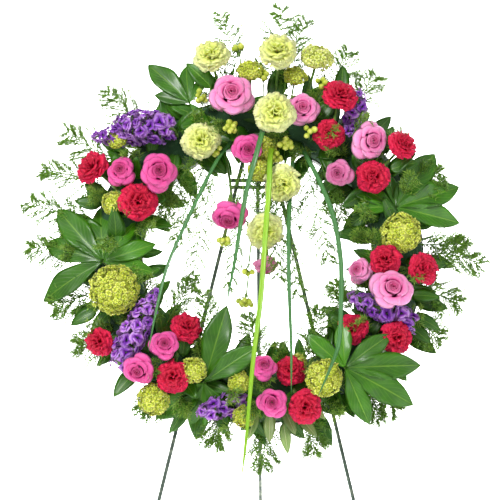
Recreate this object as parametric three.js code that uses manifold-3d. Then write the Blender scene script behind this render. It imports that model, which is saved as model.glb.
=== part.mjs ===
// Funeral wreath on a folding wire easel: a ring of floral foam in a tray, dressed with roses,
// carnations, hydrangeas, stock, fatsia, lily grass and fern, leaning on a three-legged stand.
// Millimetres, +Z up, the wreath faces -Y. Places on the wreath are ring coordinates:
// clock (degrees clockwise from the top), out (from the foam's middle circle, outwards) and
// lift (forwards from the back of the tray).

import * as THREE from 'three';
import { mergeVertices } from 'three/addons/utils/BufferGeometryUtils.js';
import Module from 'manifold-3d';

const wasm = await Module();
wasm.setup();

// The stand
const lean = THREE.MathUtils.degToRad(12);
const rearSplay = THREE.MathUtils.degToRad(22);
const ringHeight = 922;
const wireRadius = 3.175;
const gap = 0.3;
const legTop = 243;
const legSlope = 0.2335;
const pivotLevel = 117;
const eyeClearance = 0.5;
const tailLength = 16;
const overshoot = 1.08;
const wireSides = 8;
const pivotSides = 10;
const eyeSteps = 20;
const bentSides = 6;
const bentSteps = 36;
const loopReach = 10;
const loopFront = 30;
const loopLip = 54;
const loopRise = 12;
const loopBend = 6;
const restSpread = 134;
const restFront = 26;
const hookTip = 35;
const hookTurn = 6;
const restBend = 8;

// The ring
const ringRadius = 217;
const foamHalfWidth = 38;
const foamShoulder = 18;
const foamTop = 52;
const trayBase = 2;
const trayRim = 16;
const trayWall = 1.6;
const ringSteps = 48;
const crownSteps = 8;
const coreLift = 22;
const rootDepth = 12;

// Fineness and small sizes
const headSides = 9;
const stemSides = 5;
const stemSteps = 3;
const stemRadius = 2.4;
const petioleRadius = 1.8;
const leafThickness = 1.6;
const bladeHalfWidth = 3;
const bladeHalfDepth = 1;
const stalkHalfWidth = 1.6;
const stemArm = 0.3;
const leanShare = 0.5;
const calyxOverlap = 0.04;
const stockStemOverlap = 3;
const forkBead = 1.6 * stemRadius;

const trayInner = ringRadius - foamHalfWidth - gap - trayWall;
const trayOuter = ringRadius + foamHalfWidth + gap + trayWall;
const legPlane = -wireRadius - gap;
const backPlane = legPlane - 2 * wireRadius - gap;
const frontPlane = legPlane + 2 * wireRadius + gap;

// Places: [clock, out, lift, diameter, root clock, facing in the ring's own right, up, forward axes]
const roses = [
  [351, 20, 100, 74],
  [18, 10, 84, 58],
  [355, -66, 98, 52, 352],
  [300, 20, 85, 52],
  [308, -30, 98, 62],
  [46, 22, 85, 62, 46, [0.45, -0.25, 0.85]],
  [47, -46, 80, 50],
  [321, -150, 70, 60, 344, [-0.1, -0.8, 0.55]],
  [146, -192, 48, 46, 5, [0, -0.95, 0.3]],
  [102, -58, 75, 48],
  [109, -4, 114, 62, 108, [0.1, 0.2, 0.95]],
  [222, -16, 96, 50],
  [223, 36, 88, 50, 224, [-0.2, -0.5, 0.8]],
  [176, -37, 84, 44],
  [174, 19, 98, 50],
];

const greenCarnations = [
  [347, 95, 78, 54, 347, [-0.1, 0.4, 1]],
  [6, 92, 88, 58, 6, [0, 0.4, 1]],
  [8, -14, 118, 58],
  [333, -30, 85, 54],
  [22, -110, 84, 54, 14, [0, -0.45, 0.9]],
  [28, -188, 80, 52, 12, [0, -0.5, 0.85]],
];

// Two heads on a forked stem: root clock, fork place, then each head's place and diameter
const carnationSprays = [
  { root: 293, fork: [293, 10, 70], heads: [[297, 66, 68, 50], [291.5, -24, 82, 54]] },
  { root: 31, fork: [31, 14, 66], heads: [[28, 54, 80, 50], [32, -8, 82, 44]] },
  { root: 56, fork: [56, 16, 67], heads: [[54, 58, 74, 44], [58, -8, 78, 48]] },
  { root: 97, fork: [97, 6, 66], heads: [[96, -22, 92, 44], [97, 35, 78, 46]] },
  { root: 127, fork: [127, 4, 66], heads: [[130, -28, 76, 44], [123, 32, 78, 46]] },
  { root: 216, fork: [216, -16, 66], heads: [[221, -58, 74, 46], [212, 13, 84, 46]] },
  { root: 166, fork: [165, 4, 66], heads: [[164, -27, 72, 44], [163, 33, 84, 48]] },
];

const redCarnations = [
  [239, 56, 68, 42],
];

const hydrangeas = [
  [17, 100, 68, 54],
  [253, 4, 86, 76],
  [84, 2, 80, 62],
  [214, 56, 64, 50],
  [153, 6, 100, 56],
];

// Stock spikes: [clock, out, lift] of the lowest and the highest floret, and the spike's diameter
const stocks = [
  { root: 326, from: [325, 12, 80], to: [312, 74, 88], size: 50 },
  { root: 233, from: [230, 51, 64], to: [246, -56, 94], size: 40 },
  { root: 114, from: [115, 44, 62], to: [118, -62, 88], size: 34 },
];

// Fatsia leaves: centre [clock, out, lift], the facing, and lobes as [direction clock, length]
const fatsiaLeaves = [
  {
    centre: [266, 16, 60], root: 262, faces: [-0.15, 0.1, 1],
    lobes: [[244, 112], [289, 106], [318, 122], [354, 94], [36, 80], [72, 84], [104, 78]],
  },
  {
    centre: [336, 40, 56], root: 338, faces: [-0.1, 0.1, 1],
    lobes: [[285, 60], [318, 100], [350, 70], [25, 50], [140, 40]],
  },
  {
    centre: [72, 6, 56], root: 73, faces: [0.15, 0.1, 1],
    lobes: [[301, 60], [350, 60], [32, 118], [69, 114], [101, 104], [140, 60], [269, 66]],
  },
  {
    centre: [144, 8, 88], root: 142, faces: [-0.05, -0.1, 1],
    lobes: [[51, 84], [87, 112], [116, 114], [158, 90], [310, 76], [355, 72]],
  },
  {
    centre: [201, -2, 64], root: 199, faces: [-0.2, -0.3, 1],
    lobes: [[19, 118], [55, 98], [151, 66], [193, 90], [236, 98]],
  },
];

// Lily grass: hand-laid routes as [right, up, forward] from the ring's centre
const grassBlades = [
  [[-38, 194, 30], [-42, 170, 56], [-60, 138, 76], [-112, 16, 105], [-131, -35, 112], [-146, -103, 116],
    [-157, -163, 112]],
  [[6, 200, 34], [9, 184, 80], [9, 172, 108], [2, 140, 120], [-14, 78, 116], [-30, -20, 110],
    [-43, -91, 100]],
  [[28, 196, 34], [26, 170, 62], [21, 140, 96], [20, 96, 110], [14, 6, 112], [8, -87, 122],
    [-2, -175, 130], [-13, -299, 118], [-19, -347, 106]],
  [[60, 186, 32], [56, 160, 46], [53, 110, 52], [50, 60, 78], [49, 0, 102], [50, -70, 110], [53, -164, 108],
    [53, -223, 100]],
  [[66, 182, 30], [72, 158, 54], [94, 108, 76], [115, 47, 98], [126, -25, 112], [126, -90, 118],
    [122, -152, 122], [108, -192, 130], [92, -228, 122]],
];

// Fern fronds: root clock, tip [clock, out, lift] and the frond's half width
const fernFronds = [
  { root: 2, tip: [5, 198, 12], halfWidth: 46 },
  { root: 306, tip: [304, 152, 12], halfWidth: 44 },
  { root: 281, tip: [284, 156, 12], halfWidth: 40 },
  { root: 90, tip: [92, 130, 12], halfWidth: 42 },
];

const colours = {
  wire: '#3a4a3c', tray: '#2f3a2c', foam: '#3d6b3f', rose: '#dd7fa6', red: '#c4183c', lime: '#e4ecc0',
  hydrangea: '#b9cf62', stock: '#7d4aa5', fatsia: '#3f6d2a', grass: '#5a8f5a', fern: '#5d7d35',
};

const root = new THREE.Group();
const wreath = new THREE.Group();
wreath.position.z = ringHeight;
wreath.rotation.x = Math.PI / 2 - lean;
root.add(wreath);
const stemHoles = [];

// A ring place as a point: right, up and forward of the ring's centre.
function place([clock, out, lift]) {
  const angle = THREE.MathUtils.degToRad(clock);
  const radius = ringRadius + out;
  return new THREE.Vector3(radius * Math.sin(angle), radius * Math.cos(angle), lift);
}

function solidOf(geometry) {
  const bare = geometry.clone();
  bare.deleteAttribute('normal');
  bare.deleteAttribute('uv');
  const merged = mergeVertices(bare, 1e-4);
  const mesh = new wasm.Mesh({
    numProp: 3,
    vertProperties: new Float32Array(merged.attributes.position.array),
    triVerts: new Uint32Array(merged.index.array),
  });
  return new wasm.Manifold(mesh);
}

function geometryOf(solid) {
  const mesh = solid.getMesh();
  const geometry = new THREE.BufferGeometry();
  geometry.setAttribute('position', new THREE.BufferAttribute(mesh.vertProperties, 3));
  geometry.setIndex(new THREE.BufferAttribute(mesh.triVerts, 1));
  geometry.computeVertexNormals();
  return geometry;
}

function joined(geometries) {
  const solids = geometries.map(solidOf);
  return geometryOf(solids.reduce((sum, next) => sum.add(next)));
}

function cutBy(geometry, tools) {
  const cuts = tools.map(solidOf).reduce((sum, next) => sum.add(next));
  return geometryOf(solidOf(geometry).subtract(cuts));
}

function addMesh(group, name, geometry, colour, roughness, metalness = 0) {
  const material = new THREE.MeshStandardMaterial({ color: colour, roughness, metalness });
  const mesh = new THREE.Mesh(geometry, material);
  mesh.name = name;
  group.add(mesh);
  return mesh;
}

// Every wire of the easel has the same gloss enamel.
function addWire(group, name, geometry) {
  return addMesh(group, name, geometry, colours.wire, 0.35, 0.4);
}

function roundSection(radius, sides) {
  const shape = new THREE.Shape();
  for (let side = 0; side < sides; side += 1) {
    const angle = (2 * Math.PI * (side + 0.5)) / sides;
    const point = [radius * Math.cos(angle), radius * Math.sin(angle)];
    if (side === 0) shape.moveTo(...point);
    else shape.lineTo(...point);
  }
  shape.closePath();
  return shape;
}

function tube(curve, radius, sides, steps) {
  const options = { extrudePath: curve, steps, bevelEnabled: false, curveSegments: 1 };
  return new THREE.ExtrudeGeometry(roundSection(radius, sides), options);
}

// A wire bent along straight runs, with each corner rounded to bendRadius.
function bentWire(points, bendRadius) {
  const path = new THREE.CurvePath();
  let start = points[0];
  for (let index = 1; index < points.length - 1; index += 1) {
    const corner = points[index];
    const before = corner.clone().sub(points[index - 1]).setLength(bendRadius);
    const after = points[index + 1].clone().sub(corner).setLength(bendRadius);
    const enter = corner.clone().sub(before);
    const leave = corner.clone().add(after);
    path.add(new THREE.LineCurve3(start, enter));
    path.add(new THREE.QuadraticBezierCurve3(enter, corner, leave));
    start = leave;
  }
  path.add(new THREE.LineCurve3(start, points.at(-1)));
  return path;
}

const floorCut = new THREE.BoxGeometry(2000, 2000, 200).translate(0, 0, -100);

function addFrontLeg(name, side) {
  const foot = -overshoot * ringHeight;
  const top = new THREE.Vector3(side * (wireRadius + gap), legTop, legPlane);
  const toe = new THREE.Vector3(side * (wireRadius + gap + legSlope * (legTop - foot)), foot, legPlane);
  const leg = tube(new THREE.LineCurve3(top, toe), wireRadius, wireSides, 1);
  wreath.updateMatrixWorld();
  const floor = floorCut.clone().applyMatrix4(wreath.matrixWorld.clone().invert());
  addWire(wreath, name, cutBy(leg, [floor]));
}

function legOffset(level) {
  return wireRadius + gap + legSlope * (legTop - level);
}

function addCrossWires() {
  const pivotHalf = legOffset(pivotLevel) + loopReach;
  const ends = [-1, 1].map((side) => new THREE.Vector3(side * pivotHalf, pivotLevel, backPlane));
  addWire(wreath, 'pivot_wire', tube(new THREE.LineCurve3(...ends), wireRadius, pivotSides, 1));
  // The stop wire lies across the front of the legs, where the rear leg's tail comes up against it.
  const reach = frontPlane - backPlane;
  const tailAngle = lean + rearSplay;
  const stopRise = (reach * Math.cos(tailAngle) - 2 * wireRadius - gap) / Math.sin(tailAngle);
  const stopEnds = ends.map((end) => new THREE.Vector3(end.x, pivotLevel + stopRise, frontPlane));
  addWire(wreath, 'stop_wire', tube(new THREE.LineCurve3(...stopEnds), wireRadius, wireSides, 1));
}

// The hanging loop runs from the legs through the ring's middle and turns up over its inner edge.
function addHangingLoop() {
  const level = Math.sqrt((trayInner - gap) ** 2 - (loopReach + wireRadius) ** 2) - wireRadius - 1;
  const half = legOffset(level) + loopReach;
  const points = [
    [-half, level, backPlane], [-loopReach, level, backPlane], [-loopReach, level, loopFront],
    [-loopReach, level + loopRise, loopLip], [loopReach, level + loopRise, loopLip],
    [loopReach, level, loopFront], [loopReach, level, backPlane], [half, level, backPlane],
  ].map((point) => new THREE.Vector3(...point));
  addWire(wreath, 'hanging_loop', tube(bentWire(points, loopBend), wireRadius, bentSides, bentSteps));
}

// The rest wire crosses behind the legs, and its two ends come forward as hooks under the ring.
function addRestWire() {
  const reach = trayOuter + gap + wireRadius;
  const level = -Math.sqrt(reach * reach - restSpread * restSpread);
  const inwards = 1 - hookTurn / reach;
  const hook = (side) => [
    new THREE.Vector3(side * restSpread, level, backPlane),
    new THREE.Vector3(side * restSpread, level, restFront),
    new THREE.Vector3(side * restSpread * inwards, level * inwards, hookTip),
  ];
  const points = [...hook(-1).reverse(), ...hook(1)];
  addWire(wreath, 'rest_wire', tube(bentWire(points, restBend), wireRadius, bentSides, bentSteps));
}

function addRearLeg() {
  wreath.updateMatrixWorld();
  const pivot = wreath.localToWorld(new THREE.Vector3(0, pivotLevel, backPlane));
  const eyeRadius = 2 * wireRadius + eyeClearance;
  const section = roundSection(wireRadius, wireSides).getPoints(1);
  const profile = section.map((point) => point.setX(point.x + eyeRadius));
  const eye = new THREE.LatheGeometry(profile, eyeSteps).rotateZ(Math.PI / 2).translate(...pivot);
  const down = new THREE.Vector3(0, Math.sin(rearSplay), -Math.cos(rearSplay));
  const from = pivot.clone().addScaledVector(down, eyeRadius);
  const foot = pivot.clone().addScaledVector(down, (overshoot * pivot.z) / Math.cos(rearSplay));
  const leg = tube(new THREE.LineCurve3(from, foot), wireRadius, wireSides, 1);
  const tailFrom = pivot.clone().addScaledVector(down, -eyeRadius);
  const tailTo = pivot.clone().addScaledVector(down, -eyeRadius - tailLength);
  const tail = tube(new THREE.LineCurve3(tailFrom, tailTo), wireRadius, wireSides, 1);
  addWire(root, 'rear_leg', cutBy(joined([eye, leg, tail]), [floorCut]));
}

function addTray() {
  const profile = [
    [trayInner, 0], [trayOuter, 0], [trayOuter, trayRim], [trayOuter - trayWall, trayRim],
    [trayOuter - trayWall, trayBase], [trayInner + trayWall, trayBase], [trayInner + trayWall, trayRim],
    [trayInner, trayRim], [trayInner, 0],
  ].map(([radius, lift]) => new THREE.Vector2(radius, lift));
  const geometry = new THREE.LatheGeometry(profile, ringSteps).rotateX(Math.PI / 2);
  addMesh(wreath, 'ring_tray', geometry, colours.tray, 0.6);
}

// The foam's section is flat behind, with upright sides and a half-ellipse crown.
function addFoam() {
  const bottom = trayBase + gap;
  const crown = [];
  for (let step = 0; step <= crownSteps; step += 1) {
    const angle = (Math.PI * step) / crownSteps;
    const radius = ringRadius + foamHalfWidth * Math.cos(angle);
    crown.push([radius, foamShoulder + (foamTop - foamShoulder) * Math.sin(angle)]);
  }
  const inner = ringRadius - foamHalfWidth;
  const outer = ringRadius + foamHalfWidth;
  const profile = [[inner, bottom], [outer, bottom], ...crown, [inner, bottom]]
    .map(([radius, lift]) => new THREE.Vector2(radius, lift));
  const ring = new THREE.LatheGeometry(profile, ringSteps).rotateX(Math.PI / 2);
  // A hole has the stem's own sides and steps, and its flats stand one gap off the stem's corners.
  const clearance = 1 / Math.cos(Math.PI / stemSides);
  const holes = stemHoles.map(({ curve, radius }) => {
    return tube(curve, (radius + gap) * clearance, stemSides, stemSteps);
  });
  addMesh(wreath, 'foam_ring', cutBy(ring, holes), colours.foam, 0.95);
}

// Head profiles, as [radius, height] with the widest place at height 0 and a diameter of 1.
const roseProfile = [
  [0, -0.42], [0.09, -0.4], [0.28, -0.3], [0.45, -0.14], [0.5, 0], [0.45, 0.17], [0.28, 0.26], [0, 0.24],
];
const carnationProfile = [
  [0, -0.52], [0.11, -0.5], [0.14, -0.22], [0.36, -0.14], [0.5, 0], [0.44, 0.15], [0.24, 0.25], [0, 0.28],
];
const hydrangeaProfile = [
  [0, -0.3], [0.2, -0.28], [0.42, -0.16], [0.5, 0], [0.44, 0.18], [0.26, 0.3], [0, 0.34],
];
// The stock spike's radius is per unit diameter and its height per unit length.
const stockProfile = [[0, -0.02], [0.3, 0], [0.5, 0.16], [0.5, 0.5], [0.4, 0.78], [0.2, 0.96], [0, 1]];

function headGeometry(profile, size) {
  const points = profile.map(([radius, height]) => new THREE.Vector2(radius * size, height * size));
  return new THREE.LatheGeometry(points, headSides);
}

// Where a stem starts in the foam: a little way from its middle circle, towards the flower.
function stemRoot(clock, target) {
  const core = place([clock, 0, coreLift]);
  return core.add(target.clone().sub(core).setLength(rootDepth));
}

// A head looks forwards and a little the way it leans from its root.
function defaultFacing(centre, clock) {
  const facing = centre.clone().sub(place([clock, 0, coreLift]));
  facing.x *= leanShare;
  facing.y *= leanShare;
  return facing.normalize();
}

// A curve from one point to another that arrives along the given direction.
function stemCurve(from, to, facing) {
  const arm = stemArm * from.distanceTo(to);
  return new THREE.QuadraticBezierCurve3(from, to.clone().addScaledVector(facing, -arm), to);
}

// Moves a curve into the frame whose origin is at centre and whose +Y is the facing.
function localCurve(curve, centre, turn) {
  const back = turn.clone().invert();
  const points = [curve.v0, curve.v1, curve.v2].map((p) => p.clone().sub(centre).applyQuaternion(back));
  return new THREE.QuadraticBezierCurve3(...points);
}

function addFlower(name, profile, [clock, out, lift, size, rootClock = clock, faces], colour) {
  const centre = place([clock, out, lift]);
  const facing = faces ? new THREE.Vector3(...faces).normalize() : defaultFacing(centre, rootClock);
  const turn = new THREE.Quaternion().setFromUnitVectors(new THREE.Vector3(0, 1, 0), facing);
  const base = centre.clone().addScaledVector(facing, (profile[0][1] + calyxOverlap) * size);
  const curve = stemCurve(stemRoot(rootClock, base), base, facing);
  stemHoles.push({ curve, radius: stemRadius });
  const stem = tube(localCurve(curve, centre, turn), stemRadius, stemSides, stemSteps);
  const mesh = addMesh(wreath, name, joined([headGeometry(profile, size), stem]), colour, 0.7);
  mesh.position.copy(centre);
  mesh.quaternion.copy(turn);
}

function addSpray(name, spray) {
  const fork = place(spray.fork);
  const mainStem = new THREE.LineCurve3(stemRoot(spray.root, fork), fork);
  stemHoles.push({ curve: mainStem, radius: stemRadius });
  const pieces = [tube(mainStem, stemRadius, stemSides, 1)];
  pieces.push(new THREE.SphereGeometry(forkBead, 6, 4).translate(...fork));
  for (const [clock, out, lift, size] of spray.heads) {
    const centre = place([clock, out, lift]);
    const facing = defaultFacing(centre, clock);
    const turn = new THREE.Quaternion().setFromUnitVectors(new THREE.Vector3(0, 1, 0), facing);
    const base = centre.clone().addScaledVector(facing, (carnationProfile[0][1] + calyxOverlap) * size);
    const head = headGeometry(carnationProfile, size).applyQuaternion(turn).translate(...centre);
    pieces.push(head, tube(stemCurve(fork, base, facing), stemRadius, stemSides, stemSteps));
  }
  addMesh(wreath, name, joined(pieces), colours.red, 0.75);
}

// A stock spike is a tapering column of florets along its own straight stem.
function addStock(name, { root: rootClock, from, to, size }) {
  const low = place(from);
  const high = place(to);
  const along = high.clone().sub(low);
  const length = along.length();
  const turn = new THREE.Quaternion().setFromUnitVectors(new THREE.Vector3(0, 1, 0), along.normalize());
  const profile = stockProfile
    .map(([radius, height]) => new THREE.Vector2(radius * size, height * length));
  const base = low.clone().addScaledVector(along, stockStemOverlap);
  const curve = stemCurve(stemRoot(rootClock, low), base, along);
  stemHoles.push({ curve, radius: stemRadius });
  const stem = tube(localCurve(curve, low, turn), stemRadius, stemSides, stemSteps);
  const geometry = joined([new THREE.LatheGeometry(profile, headSides), stem]);
  const mesh = addMesh(wreath, name, geometry, colours.stock, 0.75);
  mesh.position.copy(low);
  mesh.quaternion.copy(turn);
}

// A palmate blade: each lobe is narrow at its root, widest past its middle, and pointed.
const lobe = { rootTurn: 14, rootReach: 0.36, wideTurn: 13, wideReach: 0.68 };
const web = { radius: 16, heelRadius: 9, heelTurn: 40, widestTurn: 62 };

function palmateShape(lobes) {
  const outline = [];
  lobes.forEach(([clock, length], index) => {
    if (index === 0) outline.push([clock - web.heelTurn, web.heelRadius]);
    outline.push([clock - lobe.rootTurn, lobe.rootReach * length]);
    outline.push([clock - lobe.wideTurn, lobe.wideReach * length]);
    outline.push([clock, length]);
    outline.push([clock + lobe.wideTurn, lobe.wideReach * length]);
    outline.push([clock + lobe.rootTurn, lobe.rootReach * length]);
    const next = lobes[(index + 1) % lobes.length][0];
    const turnOn = (next - clock + 360) % 360;
    if (turnOn > web.widestTurn) outline.push([clock + web.heelTurn, web.heelRadius]);
    else outline.push([clock + turnOn / 2, web.radius]);
  });
  return new THREE.Shape(outline.map(([clock, radius]) => {
    const angle = THREE.MathUtils.degToRad(clock);
    return new THREE.Vector2(radius * Math.sin(angle), radius * Math.cos(angle));
  }));
}

function addFatsia(name, { centre: where, root: rootClock, faces, lobes }) {
  const centre = place(where);
  const facing = new THREE.Vector3(...faces).normalize();
  const turn = new THREE.Quaternion().setFromUnitVectors(new THREE.Vector3(0, 0, 1), facing);
  const blade = new THREE.ExtrudeGeometry(palmateShape(lobes), {
    depth: leafThickness, bevelEnabled: false, curveSegments: 1,
  });
  const from = stemRoot(rootClock, centre);
  const curve = stemCurve(from, centre.clone().addScaledVector(facing, 0.5 * leafThickness), facing);
  stemHoles.push({ curve, radius: petioleRadius });
  const petiole = tube(localCurve(curve, centre, turn), petioleRadius, stemSides, stemSteps);
  const mesh = addMesh(wreath, name, joined([blade, petiole]), colours.fatsia, 0.35);
  mesh.position.copy(centre);
  mesh.quaternion.copy(turn);
}

// A long leaf of a flat diamond section; its lower end is set in the foam.
function addGrass(name, route) {
  const points = route.map((point) => new THREE.Vector3(...point));
  const curve = new THREE.CatmullRomCurve3(points, false, 'centripetal');
  stemHoles.push({ curve: new THREE.LineCurve3(points[0], points[1]), radius: bladeHalfWidth });
  const section = new THREE.Shape([
    new THREE.Vector2(-bladeHalfDepth, 0), new THREE.Vector2(0, -bladeHalfWidth),
    new THREE.Vector2(bladeHalfDepth, 0), new THREE.Vector2(0, bladeHalfWidth),
  ]);
  const options = { extrudePath: curve, steps: 2 * route.length, bevelEnabled: false, curveSegments: 1 };
  addMesh(wreath, name, new THREE.ExtrudeGeometry(section, options), colours.grass, 0.5);
}

// A flat frond: a stalk with pairs of narrow side branches, longest in the middle.
const frond = {
  pairs: 7, rootLift: 28, rootInset: 14, bareStalk: 34, bareTip: 18, slope: 0.55, branchBase: 6,
};

function addFern(name, { root: rootClock, tip, halfWidth }) {
  const from = place([rootClock, foamHalfWidth - frond.rootInset, frond.rootLift]);
  const to = place(tip);
  const length = from.distanceTo(to);
  const leafy = length - frond.bareStalk - frond.bareTip;
  const side = [];
  for (let pair = 0; pair < frond.pairs; pair += 1) {
    const start = frond.bareStalk + (leafy * pair) / frond.pairs;
    const reach = halfWidth * Math.sin(Math.PI * (0.25 + (0.62 * (pair + 0.5)) / frond.pairs));
    side.push([stalkHalfWidth, start], [reach, start + frond.slope * reach]);
    side.push([stalkHalfWidth, start + frond.branchBase]);
  }
  const outline = [[-stalkHalfWidth, 0], [stalkHalfWidth, 0], ...side, [0, length]];
  outline.push(...side.map(([across, along]) => [-across, along]).reverse());
  const shape = new THREE.Shape(outline.map(([across, along]) => new THREE.Vector2(across, along)));
  const options = { depth: leafThickness, bevelEnabled: false, curveSegments: 1 };
  const geometry = new THREE.ExtrudeGeometry(shape, options).translate(0, 0, -0.5 * leafThickness);
  const along = to.clone().sub(from).normalize();
  const across = along.clone().cross(new THREE.Vector3(0, 0, 1)).normalize();
  const basis = new THREE.Matrix4().makeBasis(across, along, across.clone().cross(along));
  const mesh = addMesh(wreath, name, geometry, colours.fern, 0.7);
  mesh.position.copy(from);
  mesh.quaternion.setFromRotationMatrix(basis);
  const buried = from.clone().addScaledVector(along, frond.bareStalk - 4);
  stemHoles.push({ curve: new THREE.LineCurve3(from, buried), radius: stalkHalfWidth + gap });
}

function numbered(name, index) {
  return `${name}_${String(index + 1).padStart(2, '0')}`;
}

addFrontLeg('front_leg_left', -1);
addFrontLeg('front_leg_right', 1);
addCrossWires();
addHangingLoop();
addRestWire();
addRearLeg();
addTray();
roses.forEach((entry, index) => addFlower(numbered('rose', index), roseProfile, entry, colours.rose));
greenCarnations.forEach((entry, index) => {
  addFlower(numbered('green_carnation', index), carnationProfile, entry, colours.lime);
});
carnationSprays.forEach((spray, index) => addSpray(numbered('carnation_spray', index), spray));
redCarnations.forEach((entry, index) => {
  addFlower(numbered('red_carnation', index), carnationProfile, entry, colours.red);
});
hydrangeas.forEach((entry, index) => {
  addFlower(numbered('hydrangea', index), hydrangeaProfile, entry, colours.hydrangea);
});
stocks.forEach((stock, index) => addStock(numbered('stock', index), stock));
fatsiaLeaves.forEach((leaf, index) => addFatsia(numbered('fatsia_leaf', index), leaf));
grassBlades.forEach((route, index) => addGrass(numbered('grass_blade', index), route));
fernFronds.forEach((frond, index) => addFern(numbered('fern_frond', index), frond));
addFoam();

// Stand the whole on its feet, with the origin at the middle of its base.
const box = new THREE.Box3().setFromObject(root, true);
root.position.set(-0.5 * (box.min.x + box.max.x), -0.5 * (box.min.y + box.max.y), -box.min.z);

export default root;
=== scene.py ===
# Dresses the funeral wreath: petals, leaves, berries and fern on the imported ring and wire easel.
import math

import bpy
import numpy as np
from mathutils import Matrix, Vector


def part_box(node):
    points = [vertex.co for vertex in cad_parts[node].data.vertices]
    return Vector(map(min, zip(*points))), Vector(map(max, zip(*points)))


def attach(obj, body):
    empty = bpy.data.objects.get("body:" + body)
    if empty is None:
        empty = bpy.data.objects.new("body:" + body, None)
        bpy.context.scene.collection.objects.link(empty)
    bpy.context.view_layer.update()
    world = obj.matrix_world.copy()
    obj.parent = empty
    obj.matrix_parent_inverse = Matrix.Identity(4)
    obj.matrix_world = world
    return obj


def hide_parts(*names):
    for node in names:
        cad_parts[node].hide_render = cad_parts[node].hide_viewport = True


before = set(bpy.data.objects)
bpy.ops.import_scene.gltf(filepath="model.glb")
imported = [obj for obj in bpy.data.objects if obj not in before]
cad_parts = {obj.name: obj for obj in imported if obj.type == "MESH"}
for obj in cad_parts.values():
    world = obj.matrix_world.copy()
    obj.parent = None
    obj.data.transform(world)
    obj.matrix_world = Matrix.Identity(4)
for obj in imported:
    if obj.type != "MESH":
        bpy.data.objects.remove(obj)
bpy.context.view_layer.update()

wreathBody = "stand_and_wreath"
print("frame loaded:", len(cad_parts), "nodes")

# Places on the wreath are in millimetres: clock (degrees clockwise from the top), out (from the
# foam's middle circle, outwards) and lift (forwards from the tray's back), or [right, up, forward].
ring = {"radius": 217.0, "lean": 12.0, "trayDepth": 16.0, "coreLift": 22.0, "rootDepth": 12.0,
        "leanShare": 0.5}

leanAngle = math.radians(ring["lean"])
ringAxes = np.array([
    [1.0, 0.0, 0.0],
    [0.0, math.sin(leanAngle), math.cos(leanAngle)],
    [0.0, -math.cos(leanAngle), math.sin(leanAngle)],
])
trayLow, trayHigh = (np.array(corner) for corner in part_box("ring_tray"))
ringCentre = 0.5 * (trayLow + trayHigh) - ringAxes[2] * 0.5 * ring["trayDepth"] / 1000


def gridOf(x, y, z):
    # three arrays that spread to one shape become one array of points
    return np.stack(np.broadcast_arrays(x, y, z), axis=-1)


def toWorld(points):
    # right, up and forward millimetres become metres along the leaning ring's three axes
    return np.asarray(points, float) / 1000 @ ringAxes + ringCentre


def place(clock, out, lift):
    # a circle of radius ring + out, turned clockwise from the top, lifted off the tray's back
    angle = np.radians(clock)
    radius = ring["radius"] + np.asarray(out, float)
    return gridOf(radius * np.sin(angle), radius * np.cos(angle), lift)


def unit(vectors):
    vectors = np.asarray(vectors, float)
    return vectors / np.maximum(np.linalg.norm(vectors, axis=-1, keepdims=True), 1e-9)


def turnsTo(facings, spins=0.0):
    # rotation matrices that carry +Z onto each facing, after a spin about +Z
    facings = unit(np.atleast_2d(facings))
    helper = np.where(np.abs(facings[:, 2:3]) < 0.9, [[0.0, 0.0, 1.0]], [[0.0, 1.0, 0.0]])
    side = unit(np.cross(helper, facings))
    up = np.cross(facings, side)
    spins = np.broadcast_to(np.asarray(spins, float), (len(facings),))[:, None]
    across = side * np.cos(spins) + up * np.sin(spins)
    along = np.cross(facings, across)
    return np.stack([across, along, facings], axis=-1)


camera = {"distance": 2.6, "lens": 120.5, "side": -0.0105, "rise": 0.014, "azimuth": -1.5}


def makeCamera():
    lens = bpy.data.cameras.new("camera")
    lens.lens = camera["lens"]
    lens.sensor_width = 36
    lens.clip_end = 50
    eye = bpy.data.objects.new("camera", lens)
    bpy.context.scene.collection.objects.link(eye)
    target = Vector(ringCentre) + Vector((camera["side"], 0, camera["rise"]))
    turn = math.radians(camera["azimuth"])
    eye.location = target + Vector((-math.sin(turn), -math.cos(turn), 0)) * camera["distance"]
    eye.rotation_euler = (target - eye.location).to_track_quat("-Z", "Y").to_euler()
    bpy.context.scene.camera = eye


def hexToLinear(colour):
    # sRGB hex to linear red, green, blue, with full alpha
    values = np.array([int(colour[i:i + 2], 16) for i in (1, 3, 5)]) / 255
    linear = np.where(values <= 0.04045, values / 12.92, ((values + 0.055) / 1.055) ** 2.4)
    return (*linear.tolist(), 1.0)


def addNode(tree, kind, inputs=None, ramp=None, **settings):
    # one node with its settings; an input that is a socket is linked, anything else is set
    node = tree.nodes.new(kind)
    for name, value in settings.items():
        setattr(node, name, value)
    if ramp:
        while len(node.color_ramp.elements) < len(ramp):
            node.color_ramp.elements.new(0.5)
        for element, (position, colour) in zip(node.color_ramp.elements, ramp):
            element.position = position
            element.color = hexToLinear(colour)
    for name, value in (inputs or {}).items():
        if isinstance(value, bpy.types.NodeSocket):
            tree.links.new(value, node.inputs[name])
        else:
            node.inputs[name].default_value = value
    return node


def mixOf(tree, share, low, high):
    return addNode(tree, "ShaderNodeMix", {0: share, 6: low, 7: high}, data_type="RGBA")


def noiseOf(tree, vector, scale, detail):
    return addNode(tree, "ShaderNodeTexNoise", {"Vector": vector, "Scale": scale, "Detail": detail})


def bumpOf(tree, height, strength, distance):
    return addNode(tree, "ShaderNodeBump", {"Height": height, "Strength": strength, "Distance": distance})


def spanOf(tree, value, given, wanted=(0.0, 1.0)):
    # value runs from one span to another, and is held at its ends
    return addNode(tree, "ShaderNodeMapRange",
                   {"Value": value, "From Min": given[0], "From Max": given[1],
                    "To Min": wanted[0], "To Max": wanted[1]})


def newMaterial(name):
    material = bpy.data.materials.new(name)
    material.use_nodes = True
    tree = material.node_tree
    tree.nodes.clear()
    return material, tree


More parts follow.
